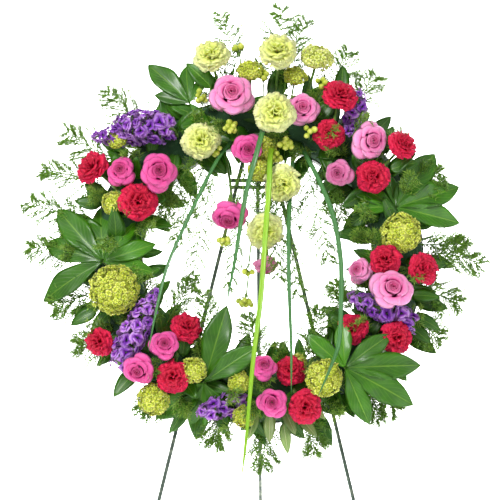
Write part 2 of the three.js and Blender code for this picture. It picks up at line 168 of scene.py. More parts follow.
studio = {
    "key": {"size": 1.2, "power": 88, "at": (-1.5, -2.4, 2.8), "aim": (0, -0.13, 0.92)},
    "fill": {"size": 2.4, "power": 26, "at": (2.4, -2.2, 1.5), "aim": (0, -0.13, 0.92)},
    "rim": {"size": 1.2, "power": 26, "at": (0.6, 1.4, 2.4), "aim": (0, -0.13, 0.92)},
    "wall": {"size": 5.0, "power": 1300, "at": (0, 2.6, 4.6), "aim": (0, 6.5, 1.6)},
    "sky": 0.5,
}


def makeStudio():
    for name in ("key", "fill", "rim", "wall"):
        lamp = studio[name]
        light = bpy.data.lights.new(name, "AREA")
        light.shape = "DISK"
        light.size = lamp["size"]
        light.energy = lamp["power"]
        holder = bpy.data.objects.new(name, light)
        bpy.context.scene.collection.objects.link(holder)
        holder.location = lamp["at"]
        aim = Vector(lamp["aim"]) - holder.location
        holder.rotation_euler = aim.to_track_quat("-Z", "Y").to_euler()
    world = bpy.data.worlds.new("studio")
    bpy.context.scene.world = world
    world.use_nodes = True
    world.node_tree.nodes["Background"].inputs["Color"].default_value = (1, 1, 1, 1)
    world.node_tree.nodes["Background"].inputs["Strength"].default_value = studio["sky"]


sweep = {"halfWidth": 9.0, "front": -6.0, "bend": 4.0, "radius": 2.5, "top": 7.0, "colour": "#ffffff"}


def makeSweep():
    # a floor that runs back, turns up through a quarter circle and rises as a wall
    angles = np.linspace(0, math.pi / 2, 24)
    bendY = sweep["bend"] + sweep["radius"] * np.sin(angles)
    bendZ = sweep["radius"] * (1 - np.cos(angles))
    profileY = np.concatenate([[sweep["front"]], bendY, [bendY[-1]]])
    profileZ = np.concatenate([[0.0], bendZ, [sweep["top"]]])
    across = np.array([-1.0, 1.0]) * sweep["halfWidth"]
    grid = gridOf(across[None, :], profileY[:, None], profileZ[:, None])
    rows = len(profileY)
    corner = 2 * np.arange(rows - 1)
    faces = np.stack([corner, corner + 1, corner + 3, corner + 2], axis=-1)
    mesh = bpy.data.meshes.new("sweep")
    mesh.from_pydata(grid.reshape(-1, 3).tolist(), [], faces.tolist())
    floor = bpy.data.objects.new("sweep", mesh)
    bpy.context.scene.collection.objects.link(floor)
    material, tree = newMaterial("matte_paper_sweep")  # seamless paper, with no gloss
    shader = addNode(tree, "ShaderNodeBsdfDiffuse", {"Color": hexToLinear(sweep["colour"])})
    addNode(tree, "ShaderNodeOutputMaterial", {"Surface": shader.outputs[0]})
    mesh.materials.append(material)


bpy.context.scene.view_settings.view_transform = "Standard"
makeCamera()
makeStudio()
makeSweep()
print("camera, light and floor made")


def closedSheets(points, thickness):
    # points is (count, rows, cols, 3). Each grid is pushed both ways along its normal by half the
    # thickness, except on its rim, which both sides share, so that each sheet is a closed lens.
    count, rows, cols, _ = points.shape
    alongCols = np.gradient(points, axis=2)
    alongRows = np.gradient(points, axis=1)
    normals = unit(np.cross(alongCols, alongRows))
    inner = np.zeros((rows, cols), bool)
    inner[1:-1, 1:-1] = True
    offset = np.where(inner[None, :, :, None], 0.5 * thickness, 0.0) * normals
    top = (points + offset).reshape(count, rows * cols, 3)
    bottom = (points - offset)[:, inner]
    topIndex = np.arange(rows * cols).reshape(rows, cols)
    bottomIndex = topIndex.copy()
    bottomIndex[inner] = rows * cols + np.arange(inner.sum())

    def quads(index):
        corners = [index[:-1, :-1], index[:-1, 1:], index[1:, 1:], index[1:, :-1]]
        return np.stack(corners, axis=-1).reshape(-1, 4)

    faces = np.concatenate([quads(topIndex), quads(bottomIndex)[:, ::-1]])
    triangles = np.concatenate([faces[:, [0, 1, 2]], faces[:, [0, 2, 3]]])
    perSheet = rows * cols + int(inner.sum())
    verts = np.concatenate([top, bottom], axis=1).reshape(-1, 3)
    triangles = (triangles[None] + perSheet * np.arange(count)[:, None, None]).reshape(-1, 3)
    across, along = np.meshgrid(np.linspace(0, 1, cols), np.linspace(0, 1, rows))
    grid = np.stack([across, along], axis=-1)
    uv = np.concatenate([grid.reshape(-1, 2), grid[inner]])
    back = np.concatenate([np.zeros(rows * cols), np.ones(inner.sum())])
    tones = np.linspace(0, 1, count) if count > 1 else np.array([0.5])
    return {"verts": verts, "tris": triangles, "uv": np.tile(uv, (count, 1)),
            "tone": np.repeat(tones, perSheet), "back": np.tile(back, count)}


def petalSheets(points, thickness):
    # petals are laid out with their outer face forwards, so their columns are turned round
    return closedSheets(points[:, :, ::-1], thickness)


def turnedSolid(profile, sides):
    # a profile of [radius, height] turned about +Z, whose first and last points are on the axis
    profile = np.asarray(profile, float)
    angle = 2 * np.pi * np.arange(sides) / sides
    body = profile[1:-1]
    circle = gridOf(body[:, :1] * np.cos(angle), body[:, :1] * np.sin(angle), body[:, 1:])
    verts = np.concatenate([circle.reshape(-1, 3), [[0, 0, profile[0, 1]], [0, 0, profile[-1, 1]]]])
    index = np.arange(len(body) * sides).reshape(len(body), sides)
    after = np.roll(index, -1, axis=1)
    low, high = len(body) * sides, len(body) * sides + 1
    walls = np.concatenate([
        np.stack([index[:-1], after[:-1], after[1:]], axis=-1).reshape(-1, 3),
        np.stack([index[:-1], after[1:], index[1:]], axis=-1).reshape(-1, 3)])
    bottom = np.stack([np.full(sides, low), after[0], index[0]], axis=-1)
    top = np.stack([np.full(sides, high), index[-1], after[-1]], axis=-1)
    rise = np.linspace(0, 1, len(body))
    around = np.arange(sides)[None, :] / sides
    uv = np.stack(np.broadcast_arrays(around, rise[:, None]), axis=-1).reshape(-1, 2)
    return {"verts": verts, "tris": np.concatenate([walls, bottom, top]),
            "uv": np.concatenate([uv, [[0.5, 0], [0.5, 1]]]), "tone": np.full(len(verts), 0.5)}


def tubes(paths, radii, sides=6):
    # paths is (count, steps, 3): a circle of the given radius is carried square to each path, and
    # both ends are closed with a fan
    paths = np.asarray(paths, float)
    count, steps, _ = paths.shape
    radii = np.broadcast_to(np.asarray(radii, float), (count, steps))
    tangents = unit(np.gradient(paths, axis=1))
    helper = np.where(np.abs(tangents[:, :1, 2:3]) < 0.8, [[[0.0, 0.0, 1.0]]], [[[1.0, 0.0, 0.0]]])
    side = unit(np.cross(helper, tangents))
    up = np.cross(tangents, side)
    angle = 2 * np.pi * np.arange(sides) / sides
    circle = (side[:, :, None] * np.cos(angle)[:, None] + up[:, :, None] * np.sin(angle)[:, None])
    rings = paths[:, :, None] + circle * radii[:, :, None, None]
    verts = np.concatenate([rings.reshape(count, -1, 3), paths[:, :1], paths[:, -1:]], axis=1)
    index = np.arange(steps * sides).reshape(steps, sides)
    after = np.roll(index, -1, axis=1)
    walls = np.concatenate([
        np.stack([index[:-1], after[:-1], after[1:]], axis=-1).reshape(-1, 3),
        np.stack([index[:-1], after[1:], index[1:]], axis=-1).reshape(-1, 3)])
    start = np.stack([np.full(sides, steps * sides), after[0], index[0]], axis=-1)
    end = np.stack([np.full(sides, steps * sides + 1), index[-1], after[-1]], axis=-1)
    triangles = np.concatenate([walls, start, end])
    perTube = steps * sides + 2
    run = np.linspace(0, 1, steps)
    around = np.arange(sides)[None, :] / sides
    uv = np.stack(np.broadcast_arrays(around, run[:, None]), axis=-1).reshape(-1, 2)
    uv = np.concatenate([uv, [[0.5, 0], [0.5, 1]]])
    return {"verts": verts.reshape(-1, 3),
            "tris": (triangles[None] + perTube * np.arange(count)[:, None, None]).reshape(-1, 3),
            "uv": np.tile(uv, (count, 1)), "tone": np.repeat(np.linspace(0, 1, count), perTube)}


def backOf(part):
    # 1 on the outer face of a petal or the underside of a leaf, 0 elsewhere
    return part.get("back", np.zeros(len(part["verts"])))


def scattered(shape, origins, turns, scales, tones=None):
    # copies of one small shape, each scaled, turned and moved to its own place
    count = len(origins)
    scales = np.broadcast_to(np.asarray(scales, float), (count,))
    turned = np.einsum("nij,vj->nvi", turns, shape["verts"])
    verts = turned * scales[:, None, None] + np.asarray(origins)[:, None]
    step = len(shape["verts"])
    triangles = shape["tris"][None] + step * np.arange(count)[:, None, None]
    tones = np.linspace(0, 1, count) if tones is None else np.asarray(tones)
    return {"verts": verts.reshape(-1, 3), "tris": triangles.reshape(-1, 3),
            "uv": np.tile(shape["uv"], (count, 1)), "tone": np.repeat(tones, step),
            "back": np.tile(backOf(shape), count)}


def merged(parts):
    offsets = np.cumsum([0] + [len(part["verts"]) for part in parts[:-1]])
    return {"verts": np.concatenate([part["verts"] for part in parts]),
            "tris": np.concatenate([part["tris"] + offset for part, offset in zip(parts, offsets)]),
            "uv": np.concatenate([part["uv"] for part in parts]),
            "tone": np.concatenate([part["tone"] for part in parts]),
            "back": np.concatenate([backOf(part) for part in parts])}


def moved(part, origin, turn, scale=1.0):
    return dict(part, verts=part["verts"] * scale @ np.asarray(turn).T + np.asarray(origin))


triangleCount = [0]


def makePiece(pieceName, layers, standsFor=()):
    # layers are (part, material) pairs that become one mesh, with a material slot for each
    parts = [part for part, material in layers]
    whole = merged(parts)
    verts = toWorld(whole["verts"])
    triangles = whole["tris"].astype(np.int32)
    mesh = bpy.data.meshes.new(pieceName)
    mesh.vertices.add(len(verts))
    mesh.vertices.foreach_set("co", verts.astype(np.float32).ravel())
    mesh.loops.add(3 * len(triangles))
    mesh.loops.foreach_set("vertex_index", triangles.ravel())
    mesh.polygons.add(len(triangles))
    mesh.polygons.foreach_set("loop_start", np.arange(0, 3 * len(triangles), 3, dtype=np.int32))
    materialIndex = np.concatenate([np.full(len(part["tris"]), slot, np.int32)
                                    for slot, part in enumerate(parts)])
    mesh.polygons.foreach_set("material_index", materialIndex)
    uvLayer = mesh.uv_layers.new(name="petal")
    uvLayer.data.foreach_set("uv", whole["uv"][triangles.ravel()].astype(np.float32).ravel())
    for name in ("tone", "back"):
        mesh.attributes.new(name, "FLOAT", "POINT").data.foreach_set("value", whole[name].astype(np.float32))
    mesh.update(calc_edges=True)
    mesh.polygons.foreach_set("use_smooth", np.ones(len(triangles), bool))
    for part, material in layers:
        mesh.materials.append(material)
    piece = bpy.data.objects.new(pieceName, mesh)
    bpy.context.scene.collection.objects.link(piece)
    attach(piece, wreathBody)
    if standsFor:
        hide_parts(*standsFor)
    triangleCount[0] += len(triangles)
    return piece


def petalMaterial(name, clawTintAndShade, heartShadeAndTone, body, rim, outside=None, roughness=0.6, veinDepth=0.10, glow=0.15,
                  rimHighlightFrom=0.82):
    # fresh petal: satin skin over wet tissue, so a little light goes in and comes back coloured;
    # petals at the heart are darker, as painted shade deep in the flower; the claw is darker, as painted
    # shade at each petal's base, and greener on the lime flowers; the rim is lighter, as a painted highlight
    material, tree = newMaterial(name)
    uv = addNode(tree, "ShaderNodeUVMap", uv_map="petal")
    split = addNode(tree, "ShaderNodeSeparateXYZ", {"Vector": uv.outputs[0]})
    tone = addNode(tree, "ShaderNodeAttribute", attribute_name="tone")
    # painted shade: tone 0 is the innermost petal of a rose or carnation, so the heart colour darkens the
    # middle of the flower; on florets and berries tone is random, and the same ramp varies their colour at
    # random
    shadeAndToneRamp = addNode(tree, "ShaderNodeValToRGB", {"Fac": tone.outputs["Fac"]},
                    ramp=[(0.0, heartShadeAndTone), (0.3, heartShadeAndTone), (0.8, body), (1.0, body)])
    # painted highlight: the colour lightens towards each petal's rim, most on the outer petals
    toRimHighlight = spanOf(tree, split.outputs["Y"], (rimHighlightFrom - 0.3, 1.0))
    rimHighlightShare = spanOf(tree, tone.outputs["Fac"], (0.1, 0.75), (0.3, 1.0))
    rimHighlightAmount = addNode(tree, "ShaderNodeMath", {0: toRimHighlight.outputs[0], 1: rimHighlightShare.outputs[0]},
                       operation="MULTIPLY")
    rimHighlighted = mixOf(tree, rimHighlightAmount.outputs[0], shadeAndToneRamp.outputs[0], hexToLinear(rim))
    # painted shade with a real tint: the claw colour darkens each petal's base, and makes it greener on the
    # lime flowers
    toClawTintAndShade = spanOf(tree, split.outputs["Y"], (0.05, 0.4), (1.0, 0.0))
    clawTintShaded = mixOf(tree, toClawTintAndShade.outputs[0], rimHighlighted.outputs[2], hexToLinear(clawTintAndShade))
    back = addNode(tree, "ShaderNodeAttribute", attribute_name="back")
    paler = addNode(tree, "ShaderNodeMath", {0: back.outputs["Fac"], 1: 0.75}, operation="MULTIPLY")
    twoSided = mixOf(tree, paler.outputs[0], clawTintShaded.outputs[2], hexToLinear(outside or rim))
    stretch = addNode(tree, "ShaderNodeMapping", {"Vector": uv.outputs[0], "Scale": (26.0, 2.2, 1.0)})
    veins = noiseOf(tree, stretch.outputs[0], 1.0, 3.0)
    veinSpan = spanOf(tree, veins.outputs["Fac"], (0.3, 0.7), (1.0 - veinDepth, 1.0 + veinDepth))
    colour = addNode(tree, "ShaderNodeHueSaturation",
                     {"Color": twoSided.outputs[2], "Value": veinSpan.outputs[0]})
    bump = bumpOf(tree, veins.outputs["Fac"], 0.25, 0.0006)
    shader = addNode(tree, "ShaderNodeBsdfPrincipled",
                     {"Base Color": colour.outputs[0], "Roughness": roughness, "Normal": bump.outputs[0],
                      "IOR": 1.36, "Subsurface Weight": glow, "Subsurface Radius": (0.004, 0.002, 0.002),
                      "Subsurface Scale": 0.5})
    addNode(tree, "ShaderNodeOutputMaterial", {"Surface": shader.outputs[0]})
    return material


def leafMaterial(name, dark, light, vein, roughness=0.32, patchScale=38.0, coat=0.25):
    # living leaf: a waxy skin that mirrors the lamps over mottled green, with paler veins
    material, tree = newMaterial(name)
    uv = addNode(tree, "ShaderNodeUVMap", uv_map="petal")
    split = addNode(tree, "ShaderNodeSeparateXYZ", {"Vector": uv.outputs[0]})
    position = addNode(tree, "ShaderNodeTexCoord")
    mottle = noiseOf(tree, position.outputs["Object"], patchScale, 4.0)
    tone = addNode(tree, "ShaderNodeAttribute", attribute_name="tone")
    base = mixOf(tree, mottle.outputs["Fac"], hexToLinear(dark), hexToLinear(light))
    centred = addNode(tree, "ShaderNodeMath", {0: split.outputs["X"], 1: 0.5}, operation="SUBTRACT")
    fromRib = addNode(tree, "ShaderNodeMath", {0: centred.outputs[0]}, operation="ABSOLUTE")
    slanted = addNode(tree, "ShaderNodeMath", {0: fromRib.outputs[0], 1: -0.7, 2: split.outputs["Y"]},
                      operation="MULTIPLY_ADD")
    wave = addNode(tree, "ShaderNodeMath", {0: slanted.outputs[0], 1: 62.0}, operation="MULTIPLY")
    sideVeins = addNode(tree, "ShaderNodeMath", {0: wave.outputs[0]}, operation="SINE")
    sideMask = spanOf(tree, sideVeins.outputs[0], (0.86, 1.0), (0.0, 0.22))
    ribMask = spanOf(tree, fromRib.outputs[0], (0.012, 0.035), (0.6, 0.0))
    veinMask = addNode(tree, "ShaderNodeMath", {0: sideMask.outputs[0], 1: ribMask.outputs[0]},
                       operation="MAXIMUM")
    colour = mixOf(tree, veinMask.outputs[0], base.outputs[2], hexToLinear(vein))
    toneSpan = spanOf(tree, tone.outputs["Fac"], (0.0, 1.0), (0.72, 1.2))
    shaded = addNode(tree, "ShaderNodeHueSaturation",
                     {"Color": colour.outputs[2], "Value": toneSpan.outputs[0]})
    bump = bumpOf(tree, veinMask.outputs[0], 0.5, 0.0012)
    shader = addNode(tree, "ShaderNodeBsdfPrincipled",
                     {"Base Color": shaded.outputs[0], "Roughness": roughness, "Normal": bump.outputs[0],
                      "IOR": 1.45, "Subsurface Weight": 0.06, "Subsurface Radius": (0.001, 0.002, 0.0005),
                      "Subsurface Scale": 0.5, "Coat Weight": coat, "Coat Roughness": 0.12})
    addNode(tree, "ShaderNodeOutputMaterial", {"Surface": shader.outputs[0]})
    return material


def stemMaterial(name, dark, light, roughness=0.45):
    # green stem: smooth skin mottled in two greens
    material, tree = newMaterial(name)
    position = addNode(tree, "ShaderNodeTexCoord")
    mottle = noiseOf(tree, position.outputs["Object"], 60.0, 3.0)
    colour = mixOf(tree, mottle.outputs["Fac"], hexToLinear(dark), hexToLinear(light))
    shader = addNode(tree, "ShaderNodeBsdfPrincipled",
                     {"Base Color": colour.outputs[2], "Roughness": roughness, "IOR": 1.45})
    addNode(tree, "ShaderNodeOutputMaterial", {"Surface": shader.outputs[0]})
    return material


stemGreen = stemMaterial("fresh_stem_skin", "#3f6a25", "#7fa34a")
sepalGreen = stemMaterial("sepal_skin", "#4f7c2c", "#8cb04e")
# colours in order: claw (painted shade at petal bases, greener on the lime flowers), heart (painted shade on
# the inner petals of roses and carnations), body, rim (painted highlight), outer face
rosePinks = [
    petalMaterial("rose_petal_soft_pink", "#c03d70", "#b81460", "#da4f98", "#f6aad4", "#f3c0d6"),
    petalMaterial("rose_petal_deep_pink", "#9c1a50", "#9a0546", "#c92279", "#ea68ac", "#eda0c6"),
    petalMaterial("rose_petal_dusky_pink", "#9a4a66", "#9c1c56", "#b8407c", "#dc88b4", "#e2b0c2"),
]
carnationRed = petalMaterial("carnation_petal_crimson", "#4a0010", "#a80022", "#cc0030", "#e62050",
                             veinDepth=0.16, glow=0.05)
carnationLime = petalMaterial("carnation_petal_lime", "#8c9c38", "#c8d252", "#e0e874", "#f4f8b0",
                              veinDepth=0.08)
hydrangeaLime = petalMaterial("hydrangea_sepal_lime", "#a2b02a", "#c2d036", "#dfe850", "#f8fa90")
hydrangeaPale = petalMaterial("hydrangea_sepal_pale", "#bcc940", "#d6e15c", "#ebf180", "#fbfdbc")
stockPurple = petalMaterial("stock_petal_violet", "#3a1258", "#6f28a0", "#9448c4", "#d6a4ea", veinDepth=0.2)


def roseHead(seed, bud=13, open=12, spread=1.0, rows=10, cols=11):
    # Petal k of a golden-angle spiral. The bud's petals wrap each other closely and stand upright.
    # The open ones climb to a shoulder and lean out from it in a broad flange that turns down.
    rng = np.random.default_rng(seed)
    count = bud + open
    k = np.arange(count)
    inBud = k < bud
    budStep, openStep = k / (bud - 1), (k - bud) / (open - 1)
    turn = np.radians(137.5 * k + rng.uniform(-10, 10, count))[:, None, None]
    rim = np.where(inBud, 0.025 + 0.155 * budStep ** 0.9, 0.27 + 0.23 * np.clip(openStep, 0, 1) ** 0.8)
    rim = rim * rng.uniform(0.96, 1.05, count) * np.where(inBud, 1, spread)
    top = np.where(inBud, 0.235 - 0.03 * budStep, 0.215 - 0.17 * np.clip(openStep, 0, 1) ** 1.3)
    halfWidth = np.radians(np.where(inBud, 104 - 30 * budStep, 62 - 12 * openStep))
    drop = np.where(inBud, 0.004 + 0.022 * budStep ** 2, 0.05 + 0.10 * np.clip(openStep, 0, 1))
    shoulder = np.where(inBud, 0.90 - 0.06 * budStep, 0.62)
    rim, top, halfWidth, drop, shoulder = (
        value[:, None, None] for value in (rim, top, halfWidth, drop, shoulder))
    across = np.linspace(-1, 1, cols)[None, None, :]
    along = (1 - (1 - np.linspace(0, 1, rows)) ** 1.25)[None, :, None]
    knee = 0.68
    climb = np.clip(along / knee, 0, 1)
    lean = np.clip((along - knee) / (1 - knee), 0, 1)
    corner = np.abs(across) ** 2.6
    tip = np.exp(-(across / 0.35) ** 2)
    angle = turn + across * halfWidth * (0.35 + 0.65 * climb ** 0.7)
    wall = 0.03 + (shoulder * rim - 0.03) * np.sin(0.5 * np.pi * climb) ** 1.1
    radius = wall + (1 - shoulder) * rim * lean
    radius = radius * (1 + 0.055 * across) + 0.02 * lean * tip - 0.30 * rim * lean * corner * (shoulder < 0.8)
    height = -0.40 + (top + 0.40) * climb ** 1.25 - drop * lean ** 2 * (1 + 0.9 * corner)
    wave = 0.010 * np.sin(2.2 * np.pi * across + 9 * turn) * lean
    return petalSheets(gridOf(radius * np.cos(angle), radius * np.sin(angle), height + wave), 0.009)


def fanPoints(outward, sideways, height, turn):
    # a blade laid out from the axis, outwards and sideways, turned about +Z
    return gridOf(outward * np.cos(turn) - sideways * np.sin(turn),
                  outward * np.sin(turn) + sideways * np.cos(turn), height)


def sepalStar(count, reach, width, droop, baseHeight, rows=4, cols=3):
    # narrow pointed blades that leave the base level and bend down
    across = np.linspace(-1, 1, cols)[None, None, :]
    along = np.linspace(0, 1, rows)[None, :, None]
    turn = (2 * np.pi * np.arange(count) / count)[:, None, None]
    half = width * np.sin(np.pi * (0.15 + 0.83 * along) ** 0.8) * across
    radius = 0.06 + reach * along
    height = baseHeight + 0.10 * along - droop * along ** 2
    return petalSheets(fanPoints(radius, half, height, turn), 0.01)


def carnationHead(seed, count=34, rows=7, cols=17, teeth=0.03, ruffle=0.055):
    # Each petal is a broad fan from the calyx mouth to its own place on a low dome. Two waves of
    # different length cross it and grow towards its rim, which is cut in small teeth.
    rng = np.random.default_rng(seed)
    k = np.arange(count)
    polar = np.radians(92 * ((k + 0.3) / count) ** 0.72 + rng.uniform(-7, 7, count))[:, None, None]
    turn = np.radians(137.5 * k + rng.uniform(-16, 16, count))[:, None, None]
    across = np.linspace(-1, 1, cols)[None, None, :]
    along = np.linspace(0, 1, rows)[None, :, None]
    reach = rng.uniform(0.90, 1.06, count)[:, None, None]
    phase, second = rng.uniform(0, 2 * np.pi, (2, count, 1, 1))
    rimRadius = 0.50 * np.sin(polar) * reach
    rimHeight = (-0.07 + 0.32 * np.cos(polar)) * reach
    saw = teeth * (np.arange(cols) % 2 - 0.5)[None, None, :] * along ** 4
    t = along * (1 + saw - 0.10 * across ** 2 + 0.05 * np.sin(3 * across + second))
    radius = 2 * t * (1 - t) * 0.35 * rimRadius + t * t * rimRadius
    height = (1 - t) ** 2 * -0.26 + 2 * t * (1 - t) * (rimHeight + 0.03) + t * t * rimHeight
    ripple = np.sin(4.6 * across + phase) + 0.45 * np.sin(10.5 * across + second)
    wave = ruffle * along ** 2 * ripple * (1.25 - 0.5 * np.sin(polar))
    half = (0.015 + (0.15 + 0.15 * np.sin(polar)) * along ** 1.1) * across
    outward = radius + 0.05 * along * np.sin(phase) * np.cos(polar) + wave * np.cos(polar) - 0.5 * half ** 2
    return petalSheets(fanPoints(outward, half, height + wave * np.sin(polar), turn), 0.010)


def domeDirections(count, widest, seed, jitter=0.15):
    # golden-angle points spread evenly over a cap of the sphere, a little disturbed
    rng = np.random.default_rng(seed)
    k = np.arange(count) + 0.5
    cosPolar = 1 - k / count * (1 - math.cos(math.radians(widest)))
    turn = np.pi * (1 + 5 ** 0.5) * k
    sinPolar = np.sqrt(1 - cosPolar ** 2)
    directions = np.stack([sinPolar * np.cos(turn), sinPolar * np.sin(turn), cosPolar], axis=-1)
    return unit(directions + rng.normal(0, jitter / 3, directions.shape))


def floret(petals, reach, width, cup, rows=3, cols=3):
    # rounded petals round a centre, cupped upwards, as closed lenses with few faces
    across = np.linspace(-1, 1, cols)[None, None, :]
    along = np.linspace(0, 1, rows)[None, :, None]
    turn = (2 * np.pi * np.arange(petals) / petals)[:, None, None]
    half = width * np.sin(np.pi * (0.12 + 0.66 * along)) * across
    radius = 0.05 + reach * along * (1 - 0.12 * across ** 2)
    height = cup * along ** 1.5 + 0.25 * cup * across ** 2
    return petalSheets(fanPoints(radius, half, height, turn), 0.07)


bead = turnedSolid([[0, -1], [0.7, -0.7], [1, 0], [0.7, 0.7], [0, 1]], 6)
calyx = turnedSolid([[0, -0.52], [0.085, -0.51], [0.115, -0.40], [0.12, -0.26], [0.14, -0.20],
                     [0, -0.18]], 10)
roseHip = turnedSolid([[0, -0.44], [0.06, -0.43], [0.10, -0.39], [0.10, -0.34], [0.05, -0.31],
                       [0, -0.30]], 10)


def bezier(start, control, end, steps=12):
    t = np.linspace(0, 1, steps)[:, None]
    return (1 - t) ** 2 * start + 2 * t * (1 - t) * control + t * t * end


def stemTo(base, facing, rootClock, radius=2.2):
    # from the foam's middle circle to the head's base, arriving along the facing
    core = place(rootClock, 0, ring["coreLift"])
    start = core + unit(base - core) * ring["rootDepth"]
    arm = 0.3 * np.linalg.norm(base - start)
    return tubes(bezier(start, base - facing * arm, base)[None], radius, 8)


def facingOf(centre, clock, faces=None):
    # a head looks forwards and a little the way it leans from its root
    share = np.array([ring["leanShare"], ring["leanShare"], 1.0])
    leaning = (centre - place(clock, 0, ring["coreLift"])) * share
    return unit(faces) if faces else unit(leaning)


# [clock, out, lift, diameter, root clock, facing] and the look: 0 soft, 1 deep, 2 dusky pink
roses = [
    ([351, 20, 100, 74], {}, 0, 1.0),
    ([18, 10, 84, 58], {}, 0, 1.0),
    ([355, -66, 98, 52], {"root": 352}, 1, 0.95),
    ([300, 20, 85, 52], {}, 1, 0.95),
    ([308, -30, 98, 62], {}, 1, 1.0),
    ([46, 22, 85, 62], {"faces": [0.45, -0.25, 0.85]}, 0, 1.05),
    ([47, -46, 80, 50], {}, 2, 0.9),
    ([321, -150, 70, 60], {"root": 344, "faces": [-0.1, -0.8, 0.55]}, 1, 1.0),
    ([146, -192, 48, 46], {"root": 5, "faces": [0, -0.95, 0.3]}, 2, 0.95),
    ([102, -58, 75, 48], {}, 0, 0.9),
    ([109, -4, 114, 62], {"root": 108, "faces": [0.1, 0.2, 0.95]}, 0, 1.1),
    ([222, -16, 96, 50], {}, 1, 0.95),
    ([223, 36, 88, 50], {"root": 224, "faces": [-0.2, -0.5, 0.8]}, 1, 1.05),
    ([176, -37, 84, 44], {}, 1, 0.95),
    ([174, 19, 98, 50], {}, 1, 0.95),
]


def makeRoses():
    for number, ((clock, out, lift, size), options, look, spread) in enumerate(roses, 1):
        name = f"rose_{number:02d}"
        rootClock = options.get("root", clock)
        centre = place(clock, out, lift)
        facing = facingOf(centre, rootClock, options.get("faces"))
        turn = turnsTo(facing, 0.7 * number)[0]
        base = centre - facing * 0.38 * size
        head = moved(roseHead(number, spread=spread), centre, turn, size)
        green = merged([moved(sepalStar(5, 0.22, 0.055, 0.30, -0.36), centre, turn, size),
                        moved(roseHip, centre, turn, size)])
        layers = [(head, rosePinks[look]), (green, sepalGreen), (stemTo(base, facing, rootClock), stemGreen)]
        makePiece(f"{name}_bloom", layers, [name])


makeRoses()
print("roses made")

greenCarnations = [
    ([347, 95, 78, 54], {"faces": [-0.1, 0.4, 1]}),
    ([6, 92, 88, 58], {"faces": [0, 0.4, 1]}),
    ([8, -14, 118, 58], {}),
    ([333, -30, 85, 54], {}),
    ([22, -110, 84, 54], {"root": 14, "faces": [0, -0.45, 0.9]}),
    ([28, -188, 80, 52], {"root": 12, "faces": [0, -0.5, 0.85]}),
]
redCarnations = [([239, 56, 68, 42], {})]
carnationSprays = [
    {"root": 293, "fork": [293, 10, 70], "heads": [[297, 66, 68, 50], [291.5, -24, 82, 54]]},
    {"root": 31, "fork": [31, 14, 66], "heads": [[28, 54, 80, 50], [32, -8, 82, 44]]},
    {"root": 56, "fork": [56, 16, 67], "heads": [[54, 58, 74, 44], [58, -8, 78, 48]]},
    {"root": 97, "fork": [97, 6, 66], "heads": [[96, -22, 92, 44], [97, 35, 78, 46]]},
    {"root": 127, "fork": [127, 4, 66], "heads": [[130, -28, 76, 44], [123, 32, 78, 46]]},
    {"root": 216, "fork": [216, -16, 66], "heads": [[221, -58, 74, 46], [212, 13, 84, 46]]},
    {"root": 166, "fork": [165, 4, 66], "heads": [[164, -27, 72, 44], [163, 33, 84, 48]]},
]


def carnationLayers(centre, facing, size, seed, petals):
    turn = turnsTo(facing, seed)[0]
    return [(moved(carnationHead(seed), centre, turn, 1.08 * size), petals),
            (moved(calyx, centre, turn, size), sepalGreen)]


def makeCarnations():
    singles = [("green_carnation", entry, carnationLime, "lime_petal") for entry in greenCarnations]
    singles += [("red_carnation", entry, carnationRed, "red_petal") for entry in redCarnations]
    counts = {}
    for kind, ((clock, out, lift, size), options), petals, slotName in singles:
        counts[kind] = counts.get(kind, 0) + 1
        name = f"{kind}_{counts[kind]:02d}"
        rootClock = options.get("root", clock)
        centre = place(clock, out, lift)
        facing = facingOf(centre, rootClock, options.get("faces"))
        layers = carnationLayers(centre, facing, size, 40 + 7 * counts[kind], petals)
        layers.append((stemTo(centre - facing * 0.48 * size, facing, rootClock), stemGreen))
        makePiece(f"{name}_bloom", layers, [name])
    for number, spray in enumerate(carnationSprays, 1):
        fork = place(*spray["fork"])
        layers = [(stemTo(fork, unit(fork - place(spray["root"], 0, ring["coreLift"])), spray["root"]),
                   stemGreen)]
        layers.append((moved(bead, fork, np.eye(3), 3.4), stemGreen))
        for head, (clock, out, lift, size) in enumerate(spray["heads"]):
            centre = place(clock, out, lift)
            facing = facingOf(centre, clock)
            base = centre - facing * 0.48 * size
            arm = 0.3 * np.linalg.norm(base - fork)
            layers += carnationLayers(centre, facing, size, 90 + 5 * number + head, carnationRed)
            layers.append((tubes(bezier(fork, base - facing * arm, base)[None], 2.2, 8), stemGreen))
        makePiece(f"carnation_spray_{number:02d}_blooms", layers,
                  [f"carnation_spray_{number:02d}"])


makeCarnations()
print("carnations made,", triangleCount[0], "triangles so far")

# [clock, out, lift, diameter, root clock, facing], with the widest place at height 0
hydrangeas = [[17, 100, 68, 54], [253, 4, 86, 76], [84, 2, 80, 62], [214, 56, 64, 50], [153, 6, 100, 56]]
paleHydrangeas = [1]
hydrangeaBits = [
    [357.8, 67, 66, 40], [288.4, 12, 72, 38], [206.4, -10, 82, 40], [187, -14, 72, 34], [309, 59, 66, 32],
    [4, -62, 70, 44], [2, -96, 78, 36], [184, 36, 66, 34], [12, 66, 60, 38], [160, -34, 66, 30],
]
floretSpan = 9.5


